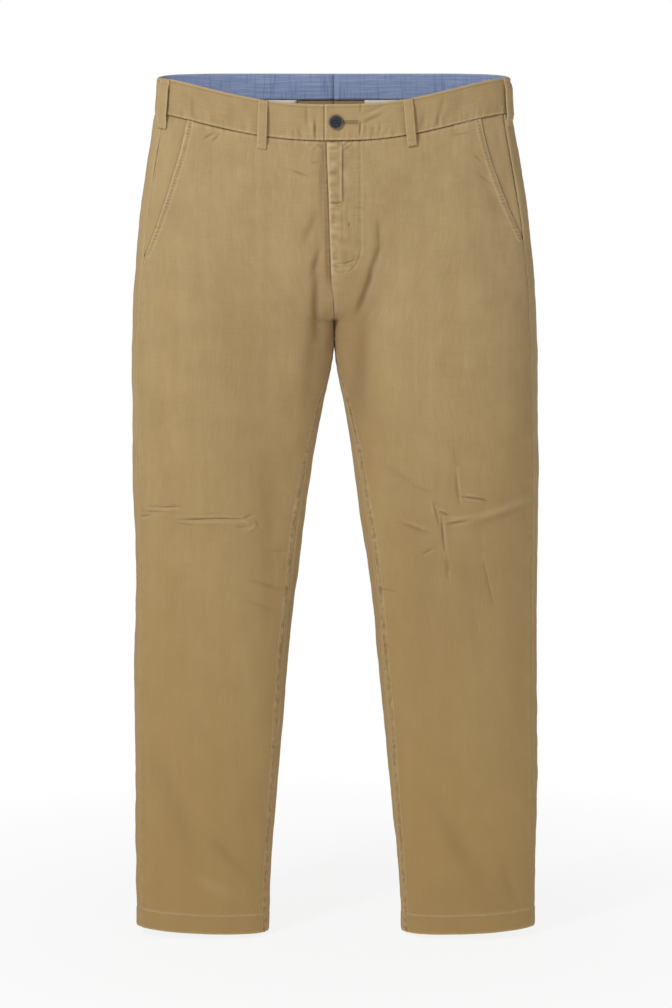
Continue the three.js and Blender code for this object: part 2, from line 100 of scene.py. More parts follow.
folds = creaseRows({
    ("right", "front"): (
        (146, 538, 2, 40, 16, -2.2), (150, 566, -4, 46, 20, 2), (120, 420, 84, 90, 24, 1.8),
    ),
    ("left", "front"): (
        (134, 575, 82, 66, 15, -2.6), (190, 535, 20, 40, 18, 2.4), (168, 512, -12, 24, 15, -2),
        (125, 400, 96, 90, 24, 1.6),
    ),
    ("right", "back"): (
        (140, 590, 6, 50, 18, -2.8), (150, 632, -8, 44, 20, 2.2), (104, 338, -26, 56, 22, -2.4),
    ),
    ("left", "back"): (
        (150, 584, -7, 52, 18, -3), (140, 626, 9, 42, 20, 2.2), (110, 330, 24, 60, 22, -2.4),
    ),
})
creases = creaseRows({
    ("right", "front"): (
        # knee of the wearer's right leg
        (199, 516, -3, 12, 1.2, -1.4), (218, 516, 0, 8, 1.3, -1), (200, 519.4, -3, 12, 1.6, 0.7),
        (219, 522.5, 0, 12, 1.3, -1.3), (231, 528.5, -14, 9, 1.3, -1.3), (232, 532.5, -14, 9, 1.8, 0.7),
        (166, 531, -1.5, 19, 1.2, -1.8), (130, 529.7, 1, 20, 1.2, -1.4), (150, 534.4, 0, 34, 2, 0.9),
        (150, 527.2, 0, 34, 1.5, 0.5), (147, 523.5, 0, 6, 1.2, -0.6), (182, 537, 11, 12, 1.8, -0.8),
        (107, 533, 30, 6, 2.2, 0.9), (100, 542, -35, 6, 2, 0.8), (112, 540, 4, 6, 1.6, -1),
        (104, 527, -20, 5, 1.6, -0.9), (92, 536, 60, 5, 1.8, -0.8), (79, 614, 20, 22, 2.2, -1.1),
        (67, 571, 3, 10, 2, -0.7), (86, 640, 24, 18, 2.2, -0.8),
        # drag lines round the fly and the fork
        (14, 129, 90, 42, 3, -1.3), (21, 219, 105, 16, 3.5, -2), (21, 268, 90, 38, 4.5, -2.6),
        (28.5, 180, -66, 18, 4.5, -1.4), (40, 114.7, 23, 11, 1.2, -1.3), (41, 111.5, 23, 11, 1.6, 0.5),
        (22, 101.7, 4, 5, 1.2, -0.9), (16, 82, 30, 5, 1.5, -0.9), (25, 84, -30, 5, 1.6, 0.8),
        (30, 79.5, 10, 4, 1.4, 0.8), (26, 340, -86, 60, 10, -1.4),
        # pocket mouths
        (149, 70, -30, 7, 1.5, -1.1), (141, 73, -48, 6, 1.6, -0.9), (196, 150, 62, 30, 8, -0.8),
        # shins and hems
        (128, 950, 48, 36, 7, -1), (150, 985, 30, 30, 8, 0.8), (190, 900, 70, 70, 14, -1),
    ),
    ("left", "front"): (
        # knee of the wearer's left leg
        (145.5, 456, -88, 16, 1.2, -0.7), (149.5, 490, -83, 21, 1.1, -1.2),
        (152.5, 488, -83, 18, 1.5, 0.4), (167, 504.5, -8, 12, 1.1, -1.7), (182, 507.6, -22, 6, 1.1, -1.5),
        (168, 501.6, -8, 13, 1.3, 0.9), (170, 508.4, -6, 14, 1.4, 0.7), (134, 523.5, -26, 6, 1.1, -1.7),
        (132, 519.6, -24, 6, 1.2, 1), (138, 528, -4, 9, 1.3, 0.8), (124.3, 524, -75, 14, 1.2, -1.2),
        (120.5, 520, -75, 12, 1.6, 0.5), (150, 534.6, 10, 12, 1.9, -1.6), (152, 529.4, 12, 15, 2.4, 1.1),
        (200, 520, 17, 38, 4.5, 1.4), (200, 529, 17, 36, 5, -0.8), (131.8, 545, -84, 15, 1.2, -1.8),
        (136.3, 581, -82, 24, 1.3, -1.3), (136, 548, -84, 17, 1.5, 0.6), (100, 543, -21, 17, 2.2, -1.4),
        (102, 538.3, -21, 16, 2.4, 0.9), (114, 570, 28, 7, 1.6, -1), (188, 608, -77, 26, 1.5, -0.9),
        (84, 480, -35, 20, 3, -0.8), (108, 494, -20, 12, 2.2, -0.8), (66.6, 620, -8, 10, 1.6, -0.9),
        (123, 488, -84, 6, 1.5, -0.7), (168, 640, -80, 60, 8, -0.7),
        # drag lines round the fly and the fork
        (10.7, 113.5, 90, 33, 1.1, -1.5), (8, 113.5, 90, 33, 1.7, 0.8), (14, 80, 35, 5, 1.2, -1.4),
        (17, 84, 40, 6, 1.8, -0.8), (7.5, 149, 25, 4, 1.2, -1.3), (1, 151, 4, 5, 1.3, -0.7),
        (8, 221, 0, 8, 1.3, -1.1), (19, 219, 18, 6, 1.3, -1.2), (9, 228, 12, 9, 2.2, 1),
        (-0.5, 166.5, 35, 4, 1.1, -1.1), (10.7, 172, 90, 16, 1.3, -0.8), (18.6, 175, 0, 1.5, 1.5, -1.2),
        (54, 186, 92, 16, 3.2, -1.7), (51, 213, 72, 14, 3.4, -2.2), (44, 236, 84, 12, 3.6, -2.4),
        (36, 261, 70, 22, 4.2, -2.6), (34, 340, 86, 66, 10, -1.5),
        # pocket mouths
        (152, 68, 6, 10, 1.4, -0.9), (190, 140, -64, 34, 8, -0.8), (172, 96, -38, 7, 1.6, -1),
        (180, 120, -36, 8, 1.8, -0.9),
        # shins and hems
        (150, 930, -60, 60, 12, -1.1), (215, 980, -70, 30, 6, -0.8),
    ),
    ("left", "back"): (
        # hidden side: seat, behind the knees and calves
        (60, 250, 38, 46, 9, -2), (120, 300, 18, 40, 7, -1.5), (96, 372, 52, 34, 7, -1.2),
        (160, 566, -5, 44, 4, -1.8), (128, 600, 12, 34, 3.4, -1.6), (190, 618, 24, 26, 4, -1.2),
        (170, 800, 76, 90, 14, -1.1), (150, 960, 40, 30, 7, -0.9),
    ),
    ("right", "back"): (
        # hidden side: seat, behind the knees and calves
        (54, 262, -34, 50, 9, -2.2), (128, 296, -14, 44, 8, -1.4), (88, 388, -56, 38, 7, -1.2),
        (152, 574, 8, 42, 4, -1.8), (176, 606, -14, 30, 3.6, -1.5), (112, 622, -26, 24, 4, -1.2),
        (160, 820, -78, 96, 14, -1.1), (176, 968, -34, 28, 7, -0.9),
    ),
})


# painted shade: darker patches where the legs turn away from the light, mostly along the inner thighs, in the
# same terms: the last number is how much
paintedShadeRows = creaseRows({
    ("left", "front"): (
        (24, 330, -84, 130, 22, 0.4), (46, 250, 82, 70, 14, 0.2), (100, 620, -85, 180, 30, 0.2),
        (226, 500, 88, 300, 24, 0.3), (172, 560, 80, 110, 40, 0.22), (165, 1010, 0, 80, 40, 0.15),
        (60, 150, 60, 60, 20, 0.1),
    ),
    ("right", "front"): (
        (16, 320, 88, 110, 18, 0.25), (22, 205, -88, 90, 16, 0.2), (108, 400, 84, 190, 42, 0.22),
        (82, 560, 88, 90, 12, 0.22), (74, 690, 80, 130, 26, 0.15),
    ),
    ("left", "back"): (
        (30, 330, -84, 130, 30, 0.5), (60, 600, -84, 160, 26, 0.35),
    ),
    ("right", "back"): (
        (30, 330, 84, 130, 30, 0.5), (60, 600, 84, 160, 26, 0.35),
    ),
})


def sideName(side):
    return "left" if side > 0 else "right"


def mix(a, b, t):
    return a + (b - a) * t


def smooth(value, low, high):
    t = min(max((value - low) / (high - low), 0.0), 1.0)
    return t * t * (3 - 2 * t)


def bump(distance, width):
    return math.exp(-(distance / width) ** 2)


columnKept = {}


def column(name, drop):
    # a smooth curve through one column of the sections
    key = (name, round(drop, 2))
    if key in columnKept:
        return columnKept[key]
    last = len(sections) - 2
    i = 0
    while i < last and drop > sections[i + 1]["drop"]:
        i += 1
    a, b = sections[i], sections[i + 1]
    before, after = sections[max(i - 1, 0)], sections[min(i + 2, last + 1)]
    span = b["drop"] - a["drop"]
    t = min(max((drop - a["drop"]) / span, -0.2), 1.2)
    slopeA = (b[name] - before[name]) / (b["drop"] - before["drop"])
    slopeB = (after[name] - a[name]) / (after["drop"] - a["drop"])
    rest = 1 - t
    value = (a[name] * (1 + 2 * t) * rest * rest + b[name] * t * t * (3 - 2 * t)
             + slopeA * span * t * rest * rest - slopeB * span * t * t * rest)
    columnKept[key] = value
    return value


def hipShare(girth, drop):
    t = min(max((cut["rise"] - drop) / cut["fork"], 0.0), 1.0)
    seam = math.sqrt(1 - (1 - t) ** 2)
    flow = 1 - smooth(drop, cut["rise"] - cut["flowAbove"], cut["rise"] + cut["flowBelow"])
    return mix(seam, flow, smooth(min(girth, 2 - girth), 0, cut["flowFrom"]))


def power(value):
    return math.copysign(abs(value) ** (2 / cut["hipCurve"]), value)


def form(side, girth, drop):
    # girth is 0 at the centre front or inseam, 1 at the side seam and 2 at the centre back or inseam
    outer = column(sideName(side), drop)
    inner = column("gapLeft" if side > 0 else "gapRight", drop)
    front, back = column("front", drop), column("back", drop)
    turned = column("inseam", drop)
    behind, ahead = max(girth - 1, 0.0), min(girth, 1.0)
    hipTurn = math.radians(ahead * cut["sideSeamHip"] + behind * (180 - cut["sideSeamHip"]))
    legTurn = math.radians(turned + ahead * (cut["sideSeamLeg"] - turned)
                           + behind * (360 + turned - cut["sideSeamLeg"]))
    share = hipShare(girth, drop)
    sinLeg, cosHip = math.sin(legTurn), math.cos(hipTurn)
    x = mix(inner + (outer - inner) / 2 * (1 - math.cos(legTurn)), outer * power(math.sin(hipTurn)), share)
    y = mix(-sinLeg * (front if sinLeg > 0 else back),
            -power(cosHip) * (front if cosHip > 0 else back), share)
    if cosHip > 0:
        dip = -cut["waistDip"] * cosHip ** cut["dipCurve"][sideName(side)]
    else:
        dip = cut["waistLift"] * (1 - (1 + cosHip) ** 2)
    tilt = cut["hemTilt"] * (outer - x) / (outer - inner)
    z = (-drop + dip * (1 - smooth(drop, cut["band"], cut["dipEnds"]))
         - tilt * smooth(drop, cut["outseam"] - cut["tiltFrom"], cut["outseam"]))
    return Vector((x + cut["gap"] / 2, y, z))


girthStep = 0.004


def frameAt(side, girth, drop):
    # the bare form's point, the way out of the cloth there, and millimetres to one of girth, on the +X side
    point = form(side, girth, drop)
    step = girthStep if girth < 1 else -girthStep
    around = (form(side, girth + step, drop) - point) / step
    down = form(side, girth, drop + 1) - point
    return point, down.cross(around).normalized(), around.length


def raisedBy(table, side, face, across, below):
    height = 0.0
    for row in table:
        if row["leg"] != side or row["face"] != face:
            continue
        if abs(below - row["below"]) > row["half"] + 3 * row["width"]:
            continue
        dx, dz = across - row["across"], row["below"] - below
        c, s = row["cos"], row["sin"]
        along = (dx * c + dz * s) / row["half"]
        over = (-dx * s + dz * c) / row["width"]
        if abs(along) < 1.8 and abs(over) < 3:
            height += row["depth"] * math.exp(-over * over - abs(along) ** 2.6)
    return height


def girthAt(side, across, drop, behind=False):
    turn = math.degrees(math.asin((across / column(sideName(side), drop)) ** (cut["hipCurve"] / 2)))
    return 2 - turn / (180 - cut["sideSeamHip"]) if behind else turn / cut["sideSeamHip"]


def moved(side, girth, drop, by):
    return girth + by / frameAt(side, min(max(girth, 0), 2), drop)[2]


def soft(x, y, z, size, seed):
    return noise.noise(Vector((x, y, z + seed * 37.0)) / size)


def creasesAt(side, girth, drop, point):
    face = "front" if girth < 1 else "back"
    fromSeam = min(girth % 1, 1 - girth % 1)
    name = sideName(side)
    height = raisedBy(folds, name, face, point.x, drop) * smooth(fromSeam, 0, 0.14)
    fine = raisedBy(creases, name, face, point.x, -point.z) * smooth(fromSeam, 0, 0.05)
    height += fine
    # the cloth is never quite even
    sx = point.x * side
    height += 2.2 * soft(sx, point.y, point.z * 0.45, 62, 1) + 0.8 * soft(sx, point.y, point.z * 0.7, 19, 2)
    height += 0.22 * soft(sx * 1.4, point.y, point.z, 7, 3)
    # painted shade from the shade patches and in crease troughs; crease ridges painted paler, as wear and
    # highlight
    dark = raisedBy(paintedShadeRows, name, face, point.x, -point.z) + max(-fine, 0) * 0.22
    wearAndPaintedLight = max(fine, 0) * 0.22
    # painted highlight on crease flanks facing the upper left, painted shade on those facing away
    if abs(fine) > 0.02:
        facingLight = lightFacingSlope(creases, name, face, point.x, -point.z, side)
        wearAndPaintedLight, dark = wearAndPaintedLight + 0.4 * max(facingLight, 0), dark + 0.45 * max(-facingLight, 0)
    return height, wearAndPaintedLight, dark


def lightFacingSlope(table, name, face, across, below, side, reach=0.6):
    # how far a crease's flank faces the upper left, where it is painted paler as a highlight, or away from
    # it, where it is painted darker as shade
    return (raisedBy(table, name, face, across + reach * side, below + reach)
            - raisedBy(table, name, face, across - reach * side, below - reach))


def pucker(side, alongSeam, fromSeam, seed, strength=0.5, reach=9):
    # short uneven ripples that a seam draws into the cloth beside it
    wave = noise.noise(Vector((alongSeam / 6.2, fromSeam / 26, seed + side * 5.0)))
    wave += 0.6 * noise.noise(Vector((alongSeam / 2.9, fromSeam / 20, seed + 3 + side * 5.0)))
    return strength * wave * math.exp(-(fromSeam / reach) ** 2)


def flyEdge(drop):
    along = min((drop - cut["band"]) / (fly["ends"] - cut["band"]), 1)
    return mix(fly["lap"], fly["lapEnd"], along) * (1 - smooth(drop, fly["ends"] + 6, cut["rise"] - 14))


def flyLift(side, across, drop):
    if side < 0:
        return 0.0
    return (fly["raised"] * (1 - smooth(across, 3, fly["width"]))
            * (1 - smooth(drop, fly["ends"] + 32, fly["ends"] + 58)))


zipForm = {"across": 10.4, "top": 78, "low": 148.4, "height": 0.9}   # the zip pressed through the fly


def zipShape(across, below):
    # height, wear with painted highlight, and painted shade at the right and lower edges where the zip shows
    # through, and the ripples of the edge over it, painted paler on their rises and darker in their dips
    top = zipForm["top"] + 0.4 * max(across, 0)
    within = smooth(below, top - 2, top + 2) * (1 - smooth(below, zipForm["low"] - 1, zipForm["low"] + 1))
    beside = (1 - smooth(across, zipForm["across"] - 1.2, zipForm["across"] + 1.2))
    wave = noise.noise(Vector((across / 14, below / 4.6, 7.3))) * (1 - smooth(across, 1, 9))
    wave += 0.7 * noise.noise(Vector((across / 9, below / 9, 2.1))) * (1 - smooth(across, 14, 28))
    height = zipForm["height"] * within * beside + 0.7 * wave
    wearAndPaintedLight = 0.5 * bump(across - zipForm["across"] + 2, 1.2) * within + 0.8 * max(wave, 0)
    dark = 0.8 * bump(across - zipForm["across"] - 0.9, 1.1) * within + 0.6 * max(-wave, 0)
    dark += beside * (0.75 * bump(below - zipForm["low"] - 0.9, 1.1) + 0.4 * bump(below - top + 2, 1.3))
    return height, wearAndPaintedLight, dark


def pocketEdge(side, drop):
    name = sideName(side)
    along = (drop - cut["band"]) / (pocket["ends"][name] - cut["band"])
    seamAcross = column(name, drop) * power(math.sin(math.radians(cut["sideSeamHip"])))
    return girthAt(side, mix(pocket["top"][name], seamAcross, along), drop) if along < 1 else 1


jLine = {"across": 30.5, "straight": 203, "round": 33}   # the fly's J: straight down, then round to the edge


def jStitch(side, drop):
    # how far from the centre the J stitch runs at a drop, or none
    past = (drop - jLine["straight"]) / jLine["round"]
    if side < 0 or past > 1:
        return None
    return jLine["across"] * math.sqrt(1 - max(past, 0) ** 2)


seamNotes = {"roll": 0.9, "rollWidth": 1.4, "row": 0.32, "rowWidth": 0.9}
stitchRows = {"pocket": (1.6, 8.2), "seam": (1.6, 7.6)}   # distances of stitched rows from an edge


def seamForm(distance, rows):
    # a seam's edge rolls under, and each stitched row draws the cloth in
    height = -seamNotes["roll"] * bump(distance, seamNotes["rollWidth"])
    for at in rows:
        height -= seamNotes["row"] * bump(distance - at, seamNotes["rowWidth"])
    return height


def hemForm(side, across, fromHem, seed):
    # the turned hem: thicker up to its stitched line, and rolled at the fold
    fromLine = fromHem - cut["hemTurn"]
    height = 0.55 * smooth(-fromLine, -1, 2) - 0.5 * bump(fromLine + 1.5, 1.1)
    return height + pucker(side, across, fromLine, seed, 0.6, 14) - 0.7 * bump(fromHem, 1.2)


def nearCentre(distance, drop):
    # 1 beside a centre seam above the fork, where the cloth may not cross the middle plane
    return (1 - smooth(distance, 2, 14)) * (1 - smooth(drop, cut["rise"] - 4, cut["rise"] + 30))


def frontCloth(side, girth, drop):
    # a point of the leg front's outer face, the way out, and its wear with painted highlight, and its painted
    # shade, there
    if girth < 0:
        point, out, speed = frameAt(-side, -girth, drop)
        across = -point.x
    else:
        point, out, speed = frameAt(side, girth, drop)
        across = point.x
    height, wearAndPaintedLight, dark = creasesAt(side, max(girth, 0), drop, point)
    height += flyLift(side, max(across, 0), drop)
    lap = flyEdge(drop) if side > 0 else 0
    fromFront = (girth + (girthAt(-side, lap, drop) if lap > 0.01 else 0)) * speed
    edge = pocketEdge(side, drop)
    fromSide = (edge - girth) * speed
    fromBand = drop - cut["band"]
    fromHem = cut["outseam"] - drop
    inLeg = smooth(drop, cut["rise"] - 10, cut["rise"] + 10)
    if side < 0 and drop < fly["ends"] + 24:
        # the shadowed cloth beside the edge of the fly that lies on it
        beside = across - flyEdge(drop)
        ending = 1 - smooth(drop, fly["ends"] - 4, fly["ends"] + 24)
        height -= 0.5 * bump(beside, 3)
        lines = bump(beside - 0.9, 1.3) + 0.55 * bump(beside - 4.6, 1.2)
        dark += ending * (lines + 0.3 * bump(beside - 4, 5))
    if fromSide < 30:
        isPocket = edge < 1
        rows = stitchRows["pocket"] if isPocket else ()
        drawn = pucker(side, drop, fromSide, 11, 0.85 if isPocket else 0.5)
        height += seamForm(fromSide, rows) + drawn
        # puckers painted paler on their rises and darker in their dips: painted highlight and shade
        wearAndPaintedLight, dark = wearAndPaintedLight + 0.4 * max(drawn, 0), dark + 0.4 * max(-drawn, 0)
        height += (0.5 if isPocket else 0.25) * bump(fromSide - 4.6, 3.4)
        wearAndPaintedLight += (0.9 if isPocket else 0.35) * bump(fromSide - 0.8, 1.6)
        if isPocket:
            # stitch dots painted paler, with painted shade between them and beside the rows
            dots = math.sin(drop * 2 * math.pi / 4.3) * (0.28 + 0.7 * soft(across, 0, drop, 14, 8))
            dots *= bump(fromSide - 5, 3.2)
            height += 0.35 * dots
            wearAndPaintedLight += 0.3 * bump(fromSide - 8.2, 1.3) + max(dots, 0)
            dark += 0.3 * bump(fromSide - 5, 1.6) + 1.1 * max(-dots, 0)
    if fromFront < 30:
        isFly = side > 0 and drop < fly["ends"]
        rows = stitchRows["seam"] if inLeg > 0.5 else stitchRows["seam"][:1]
        drawn = pucker(side, drop, fromFront, 23, 0.7 if inLeg else 0.55)
        height += seamForm(fromFront, rows) + drawn
        # puckers painted paler on their rises and darker in their dips: painted highlight and shade
        wearAndPaintedLight, dark = wearAndPaintedLight + 0.45 * max(drawn, 0), dark + 0.45 * max(-drawn, 0)
        height += 0.5 * inLeg * bump(fromFront - 4.6, 3.2)
        # pale and dark dashes along the inseam and shade beside its ridge: painted highlight and shade
        dots = inLeg * soft(4, fromFront, drop, 5, 17) * bump(fromFront - 4.6, 3.6)
        wearAndPaintedLight, dark = wearAndPaintedLight + 0.9 * max(dots, 0), dark + 1.3 * max(-dots, 0)
        wearAndPaintedLight += (1.0 if isFly else 0.4) * bump(fromFront - 0.7, 1.5)
        dark += 0.25 * inLeg * bump(fromFront - 4.6, 2.5)
    if fromBand < 26:
        drawn = pucker(side, across * 1.3, fromBand, 31, 0.7, 9)
        height += -1.5 * (1 - smooth(fromBand, -1, 1.6)) + drawn
        # puckers painted paler and darker, a painted shadow line just under the band, and a painted highlight
        # below it
        wearAndPaintedLight, dark = wearAndPaintedLight + 0.45 * max(drawn, 0), dark + 0.5 * max(-drawn, 0)
        dark += 0.9 * bump(fromBand - 0.4, 1.1)
        wearAndPaintedLight += 0.25 * bump(fromBand - 3.4, 1.4)
    if fromHem < 60:
        height += hemForm(side, across, fromHem, 41)
        wearAndPaintedLight += 0.6 * bump(fromHem, 1.6) + 0.3 * bump(fromHem - cut["hemTurn"] + 1, 1.5)
    stitched = jStitch(side, drop)
    if stitched is not None and abs(across - stitched) < 12 and fromBand > 0:
        drawn = pucker(side, drop, abs(across - stitched), 53, 0.6, 6)
        # painted shade along the J stitch and in pucker dips, painted highlight beside it and on pucker rises
        height += -0.5 * bump(across - stitched, 1.2) + drawn
        dark += 0.5 * bump(across - stitched, 1.1) + 0.5 * max(-drawn, 0)
        wearAndPaintedLight += 0.3 * bump(across - stitched - 2.2, 1.3) + 0.4 * max(drawn, 0)
    if side > 0 and fromBand > 0 and drop < fly["ends"] and across < 30:
        raised, paleWearAndHighlight, zipPaintedShade = zipShape(across, -point.z)
        height, wearAndPaintedLight, dark = height + raised, wearAndPaintedLight + paleWearAndHighlight, dark + zipPaintedShade
        # painted shade at the bar tack below the fly
        dark += 0.7 * bump(across + 2, 1.3) * smooth(-point.z, 231, 236) * (1 - smooth(-point.z, 246, 250))
    bare = point.x
    point = point + out * height
    point.x = mix(point.x, bare - cut["gap"], nearCentre(abs(girth) * speed, drop))
    if girth >= 0:
        point.x = max(point.x, -cut["gap"])
        point.x *= side
        out.x *= side
    else:
        point.x *= -side
        out.x *= -side
    return point * mm, out, (wearAndPaintedLight, dark)


def backCloth(side, girth, drop):
    point, out, speed = frameAt(side, girth, drop)
    height, wearAndPaintedLight, dark = creasesAt(side, girth, drop, point)
    fromSide = (girth - 1) * speed
    fromBack = (2 - girth) * speed
    fromBand = drop - cut["band"]
    fromHem = cut["outseam"] - drop
    inLeg = smooth(drop, cut["rise"] - 10, cut["rise"] + 10)
    if fromSide < 30:
        height += seamForm(fromSide, ()) + pucker(side, drop, fromSide, 12, 0.5)
        wearAndPaintedLight += 0.3 * bump(fromSide - 0.8, 1.5)
    if fromBack < 30:
        rows = () if inLeg > 0.5 else stitchRows["seam"]
        height += seamForm(fromBack, rows) + pucker(side, drop, fromBack, 24, 0.6)
        height += 0.5 * (1 - inLeg) * bump(fromBack - 4.6, 3.2)
        wearAndPaintedLight += 0.4 * bump(fromBack - 0.7, 1.4)
    if fromBand < 26:
        height += -1.5 * (1 - smooth(fromBand, -1, 1.6)) + pucker(side, point.x * 1.3, fromBand, 32, 0.55, 10)
        # painted shadow line just under the band
        dark += 0.6 * bump(fromBand - 0.4, 1.1)
    if fromHem < 60:
        height += hemForm(side, point.x, fromHem, 42)
        wearAndPaintedLight += 0.6 * bump(fromHem, 1.6)
    # the cloth is drawn in round the back pocket's opening
    if abs(drop - backPocket["drop"]) < 26 and backPocket["inner"] - 12 < point.x < 200:
        height -= 0.4 * bump(drop - backPocket["drop"], 12)
    bare = point.x
    point = point + out * height
    point.x = max(mix(point.x, bare - cut["gap"], nearCentre(fromBack, drop)), -cut["gap"])
    point.x *= side
    out.x *= side
    return point * mm, out, (wearAndPaintedLight, dark)


def bandLift(side, girth, across):
    if side < 0 or girth > 1:
        return band["proud"]
    # over the other half near the button, then down to the form
    riding = 1 - smooth(max(across, 0), band["underlap"] + 2, 48)
    return band["proud"] + (band["wall"] + cut["gap"]) * riding


# puckers in the band, beside the button and the loops, in the same terms
bandPuckers = creaseRows({
    ("right", "front"): (
        (22, 62.5, 90, 9, 1.6, -1.7), (26, 62, 90, 9, 2.2, 0.8), (32, 47, 89, 11, 2.4, -0.9),
        (41, 65, 82, 5, 1.9, -0.55), (48, 66, 86, 4, 1.7, -0.5), (58, 65, 80, 5, 2, -0.4),
        (120, 40, 84, 16, 7, -0.6), (168, 36, 88, 9, 2.4, -0.7),
    ),
    ("left", "front"): (
        (45, 44.5, 24, 15, 2.4, 1), (46, 50, 24, 14, 2, -1.1), (50, 38.5, 22, 11, 2.2, -0.8),
        (31.5, 62, 88, 8, 1.3, -1.7), (34.5, 62, 88, 8, 2, 0.7), (47, 63, 92, 4, 1.6, -0.7),
        (55, 61, 84, 6, 1.8, -0.8), (63, 64, 88, 3, 1.6, -0.5), (32, 36, 88, 6, 1.6, -0.8),
        (106, 52, 84, 10, 3, -0.9), (128, 36, 76, 12, 3, -0.8), (124, 52, 84, 6, 1.8, -0.9),
        (150, 30, 80, 14, 6, -0.6),
    ),
    ("left", "back"): (
        (60, 20, 84, 16, 6, -0.6), (140, 18, 86, 14, 5, -0.6),
    ),
    ("right", "back"): (
        (76, 22, 80, 16, 6, -0.6), (150, 20, 86, 14, 5, -0.6),
    ),
})


buttonhole = {"from": 8.5, "to": 28, "drop": 21, "lip": 1.4}


def bandCloth(side, girth, drop):
    sign = -1 if girth < 0 else 1
    point, out, _ = frameAt(side * sign, abs(girth), drop)
    across = point.x * sign
    height = bandLift(side, girth, across)
    face = "front" if girth < 1 else "back"
    fine = raisedBy(bandPuckers, sideName(side), face, across, -point.z)
    height += fine
    # pucker ridges painted paler and troughs darker: painted highlight and shade
    wearAndPaintedLight, dark = 0.2 * max(fine, 0), 0.25 * max(-fine, 0)
    # painted highlight on pucker flanks facing the upper left, painted shade on those facing away
    if abs(fine) > 0.02:
        facingLight = lightFacingSlope(bandPuckers, sideName(side), face, across, -point.z, side)
        wearAndPaintedLight, dark = wearAndPaintedLight + 0.4 * max(facingLight, 0), dark + 0.45 * max(-facingLight, 0)
    fromTop, fromSeam = drop, cut["band"] - drop
    lap = band["lap"] if side > 0 else -band["underlap"] * 5
    fromEnd = across + lap
    height += -0.6 * bump(fromTop, 1.3) - 0.5 * bump(fromSeam, 1.2)
    drawn = pucker(side, across if girth < 1 else 400 - across, fromSeam, 61, 0.8, 13)
    height += drawn
    # puckers painted paler and darker, and a painted shadow line at the bottom seam
    wearAndPaintedLight, dark = wearAndPaintedLight + 0.4 * max(drawn, 0), dark + 0.45 * max(-drawn, 0) + 0.5 * bump(fromSeam, 0.9)
    height += 0.55 * soft(across, point.y, point.z, 26, 5)
    # top edge painted paler, as wear and highlight; painted shade just below it and a paler line above the
    # bottom seam
    wearAndPaintedLight += 0.9 * bump(fromTop, 1.3) + 0.3 * bump(fromSeam - 2, 1.2)
    dark += 0.3 * bump(fromTop - 3.2, 1.2)
    # painted shade: the front band darker towards the sides, where it turns away
    if face == "front":
        dark += (0.16 if side > 0 else 0.1) * smooth(across, 60, 140)
    if side > 0 and face == "front" and abs(drop - buttonhole["drop"]) < 8:
        slit = smooth(across, 7, 10) * (1 - smooth(across, buttonhole["to"], buttonhole["to"] + 2))
        height -= 0.8 * slit * bump(drop - buttonhole["drop"], 1)
        # painted shade in the buttonhole slit and just below it
        fromSlit = drop - buttonhole["drop"]
        dark += slit * (bump(fromSlit, 0.9) + 0.4 * bump(fromSlit - 2.6, 1.3))
    if side < 0 and face == "front":
        # the shadowed band beside the lapping end
        dark += 0.8 * bump(across - band["lap"] - 1, 1.3)
    # the lapping end's edge painted paler, as wear and highlight
    if side > 0 and girth < 1 and fromEnd < 20:
        height += -0.6 * bump(fromEnd, 1.2)
        wearAndPaintedLight += 0.9 * bump(fromEnd, 1.4)
    point = point + out * height
    point.x *= side * sign
    out.x *= side * sign
    return point * mm, out, (wearAndPaintedLight, dark)


# Materials
def linear(hexColour):
    value = hexColour.lstrip("#")
    channels = [int(value[i:i + 2], 16) / 255 for i in (0, 2, 4)]
    return [c / 12.92 if c <= 0.04045 else ((c + 0.055) / 1.055) ** 2.4 for c in channels] + [1.0]


def newMaterial(name, colour, roughness, sheen=0.0):
    material = bpy.data.materials.new(name)
    material.use_nodes = True
    shader = material.node_tree.nodes["Principled BSDF"]
    shader.inputs["Base Color"].default_value = linear(colour)
    shader.inputs["Roughness"].default_value = roughness
    shader.inputs["Sheen Weight"].default_value = sheen
    shader.inputs["Sheen Roughness"].default_value = 0.5
    return material, shader


def addNode(material, kind, settings=None, links=None):
    node = material.node_tree.nodes.new(kind)
    for key, value in (settings or {}).items():
        if key in node.bl_rna.properties:
            setattr(node, key, value)
        else:
            node.inputs[key].default_value = value
    for key, socket in (links or {}).items():
        material.node_tree.links.new(socket, node.inputs[key])
    return node


def colourMix(material, blend, factor, a, b):
    node = addNode(material, "ShaderNodeMix", {"data_type": "RGBA", "blend_type": blend})
    for socket, value in ((node.inputs[0], factor), (node.inputs[6], a), (node.inputs[7], b)):
        if isinstance(value, (float, int)):
            socket.default_value = value
        elif isinstance(value, str):
            socket.default_value = linear(value)
        else:
            material.node_tree.links.new(value, socket)
    return node.outputs[2]


def ramp(material, socket, low, high, outLow, outHigh):
    limits = {"From Min": low, "From Max": high, "To Min": outLow, "To Max": outHigh}
    return addNode(material, "ShaderNodeMapRange", limits, {"Value": socket}).outputs["Result"]


def streaks(material, source, scale, detail):
    # noise drawn out along one way, as threads are
    drawn = addNode(material, "ShaderNodeMapping", {"Scale": scale}, {"Vector": source})
    noisy = {"Scale": 1.0, "Detail": detail}
    return addNode(material, "ShaderNodeTexNoise", noisy, {"Vector": drawn.outputs[0]}).outputs[0]


def waveScale(spacing):
    # a band texture's scale for one wave in "spacing" metres
    return 2 * math.pi / (20 * spacing)


twillLook = {
    # the darkest colour here is painted shade; the wear strength paints real seam wear and painted highlights
    # paler
    "colour": "#b59a6b", "dark": "#8d7044", "light": "#d3bf97", "paintedShade": "#7c5e35", "low": "#a4834b",
    "roughness": 0.86, "sheen": 0.1,
    "twillSpacing": 0.0011,   # real twill lines are about 0.5 mm apart, drawn twice as coarse to show
    "slub": 0.2, "mottle": 0.3, "wearAndPaintedLight": 0.55,
}


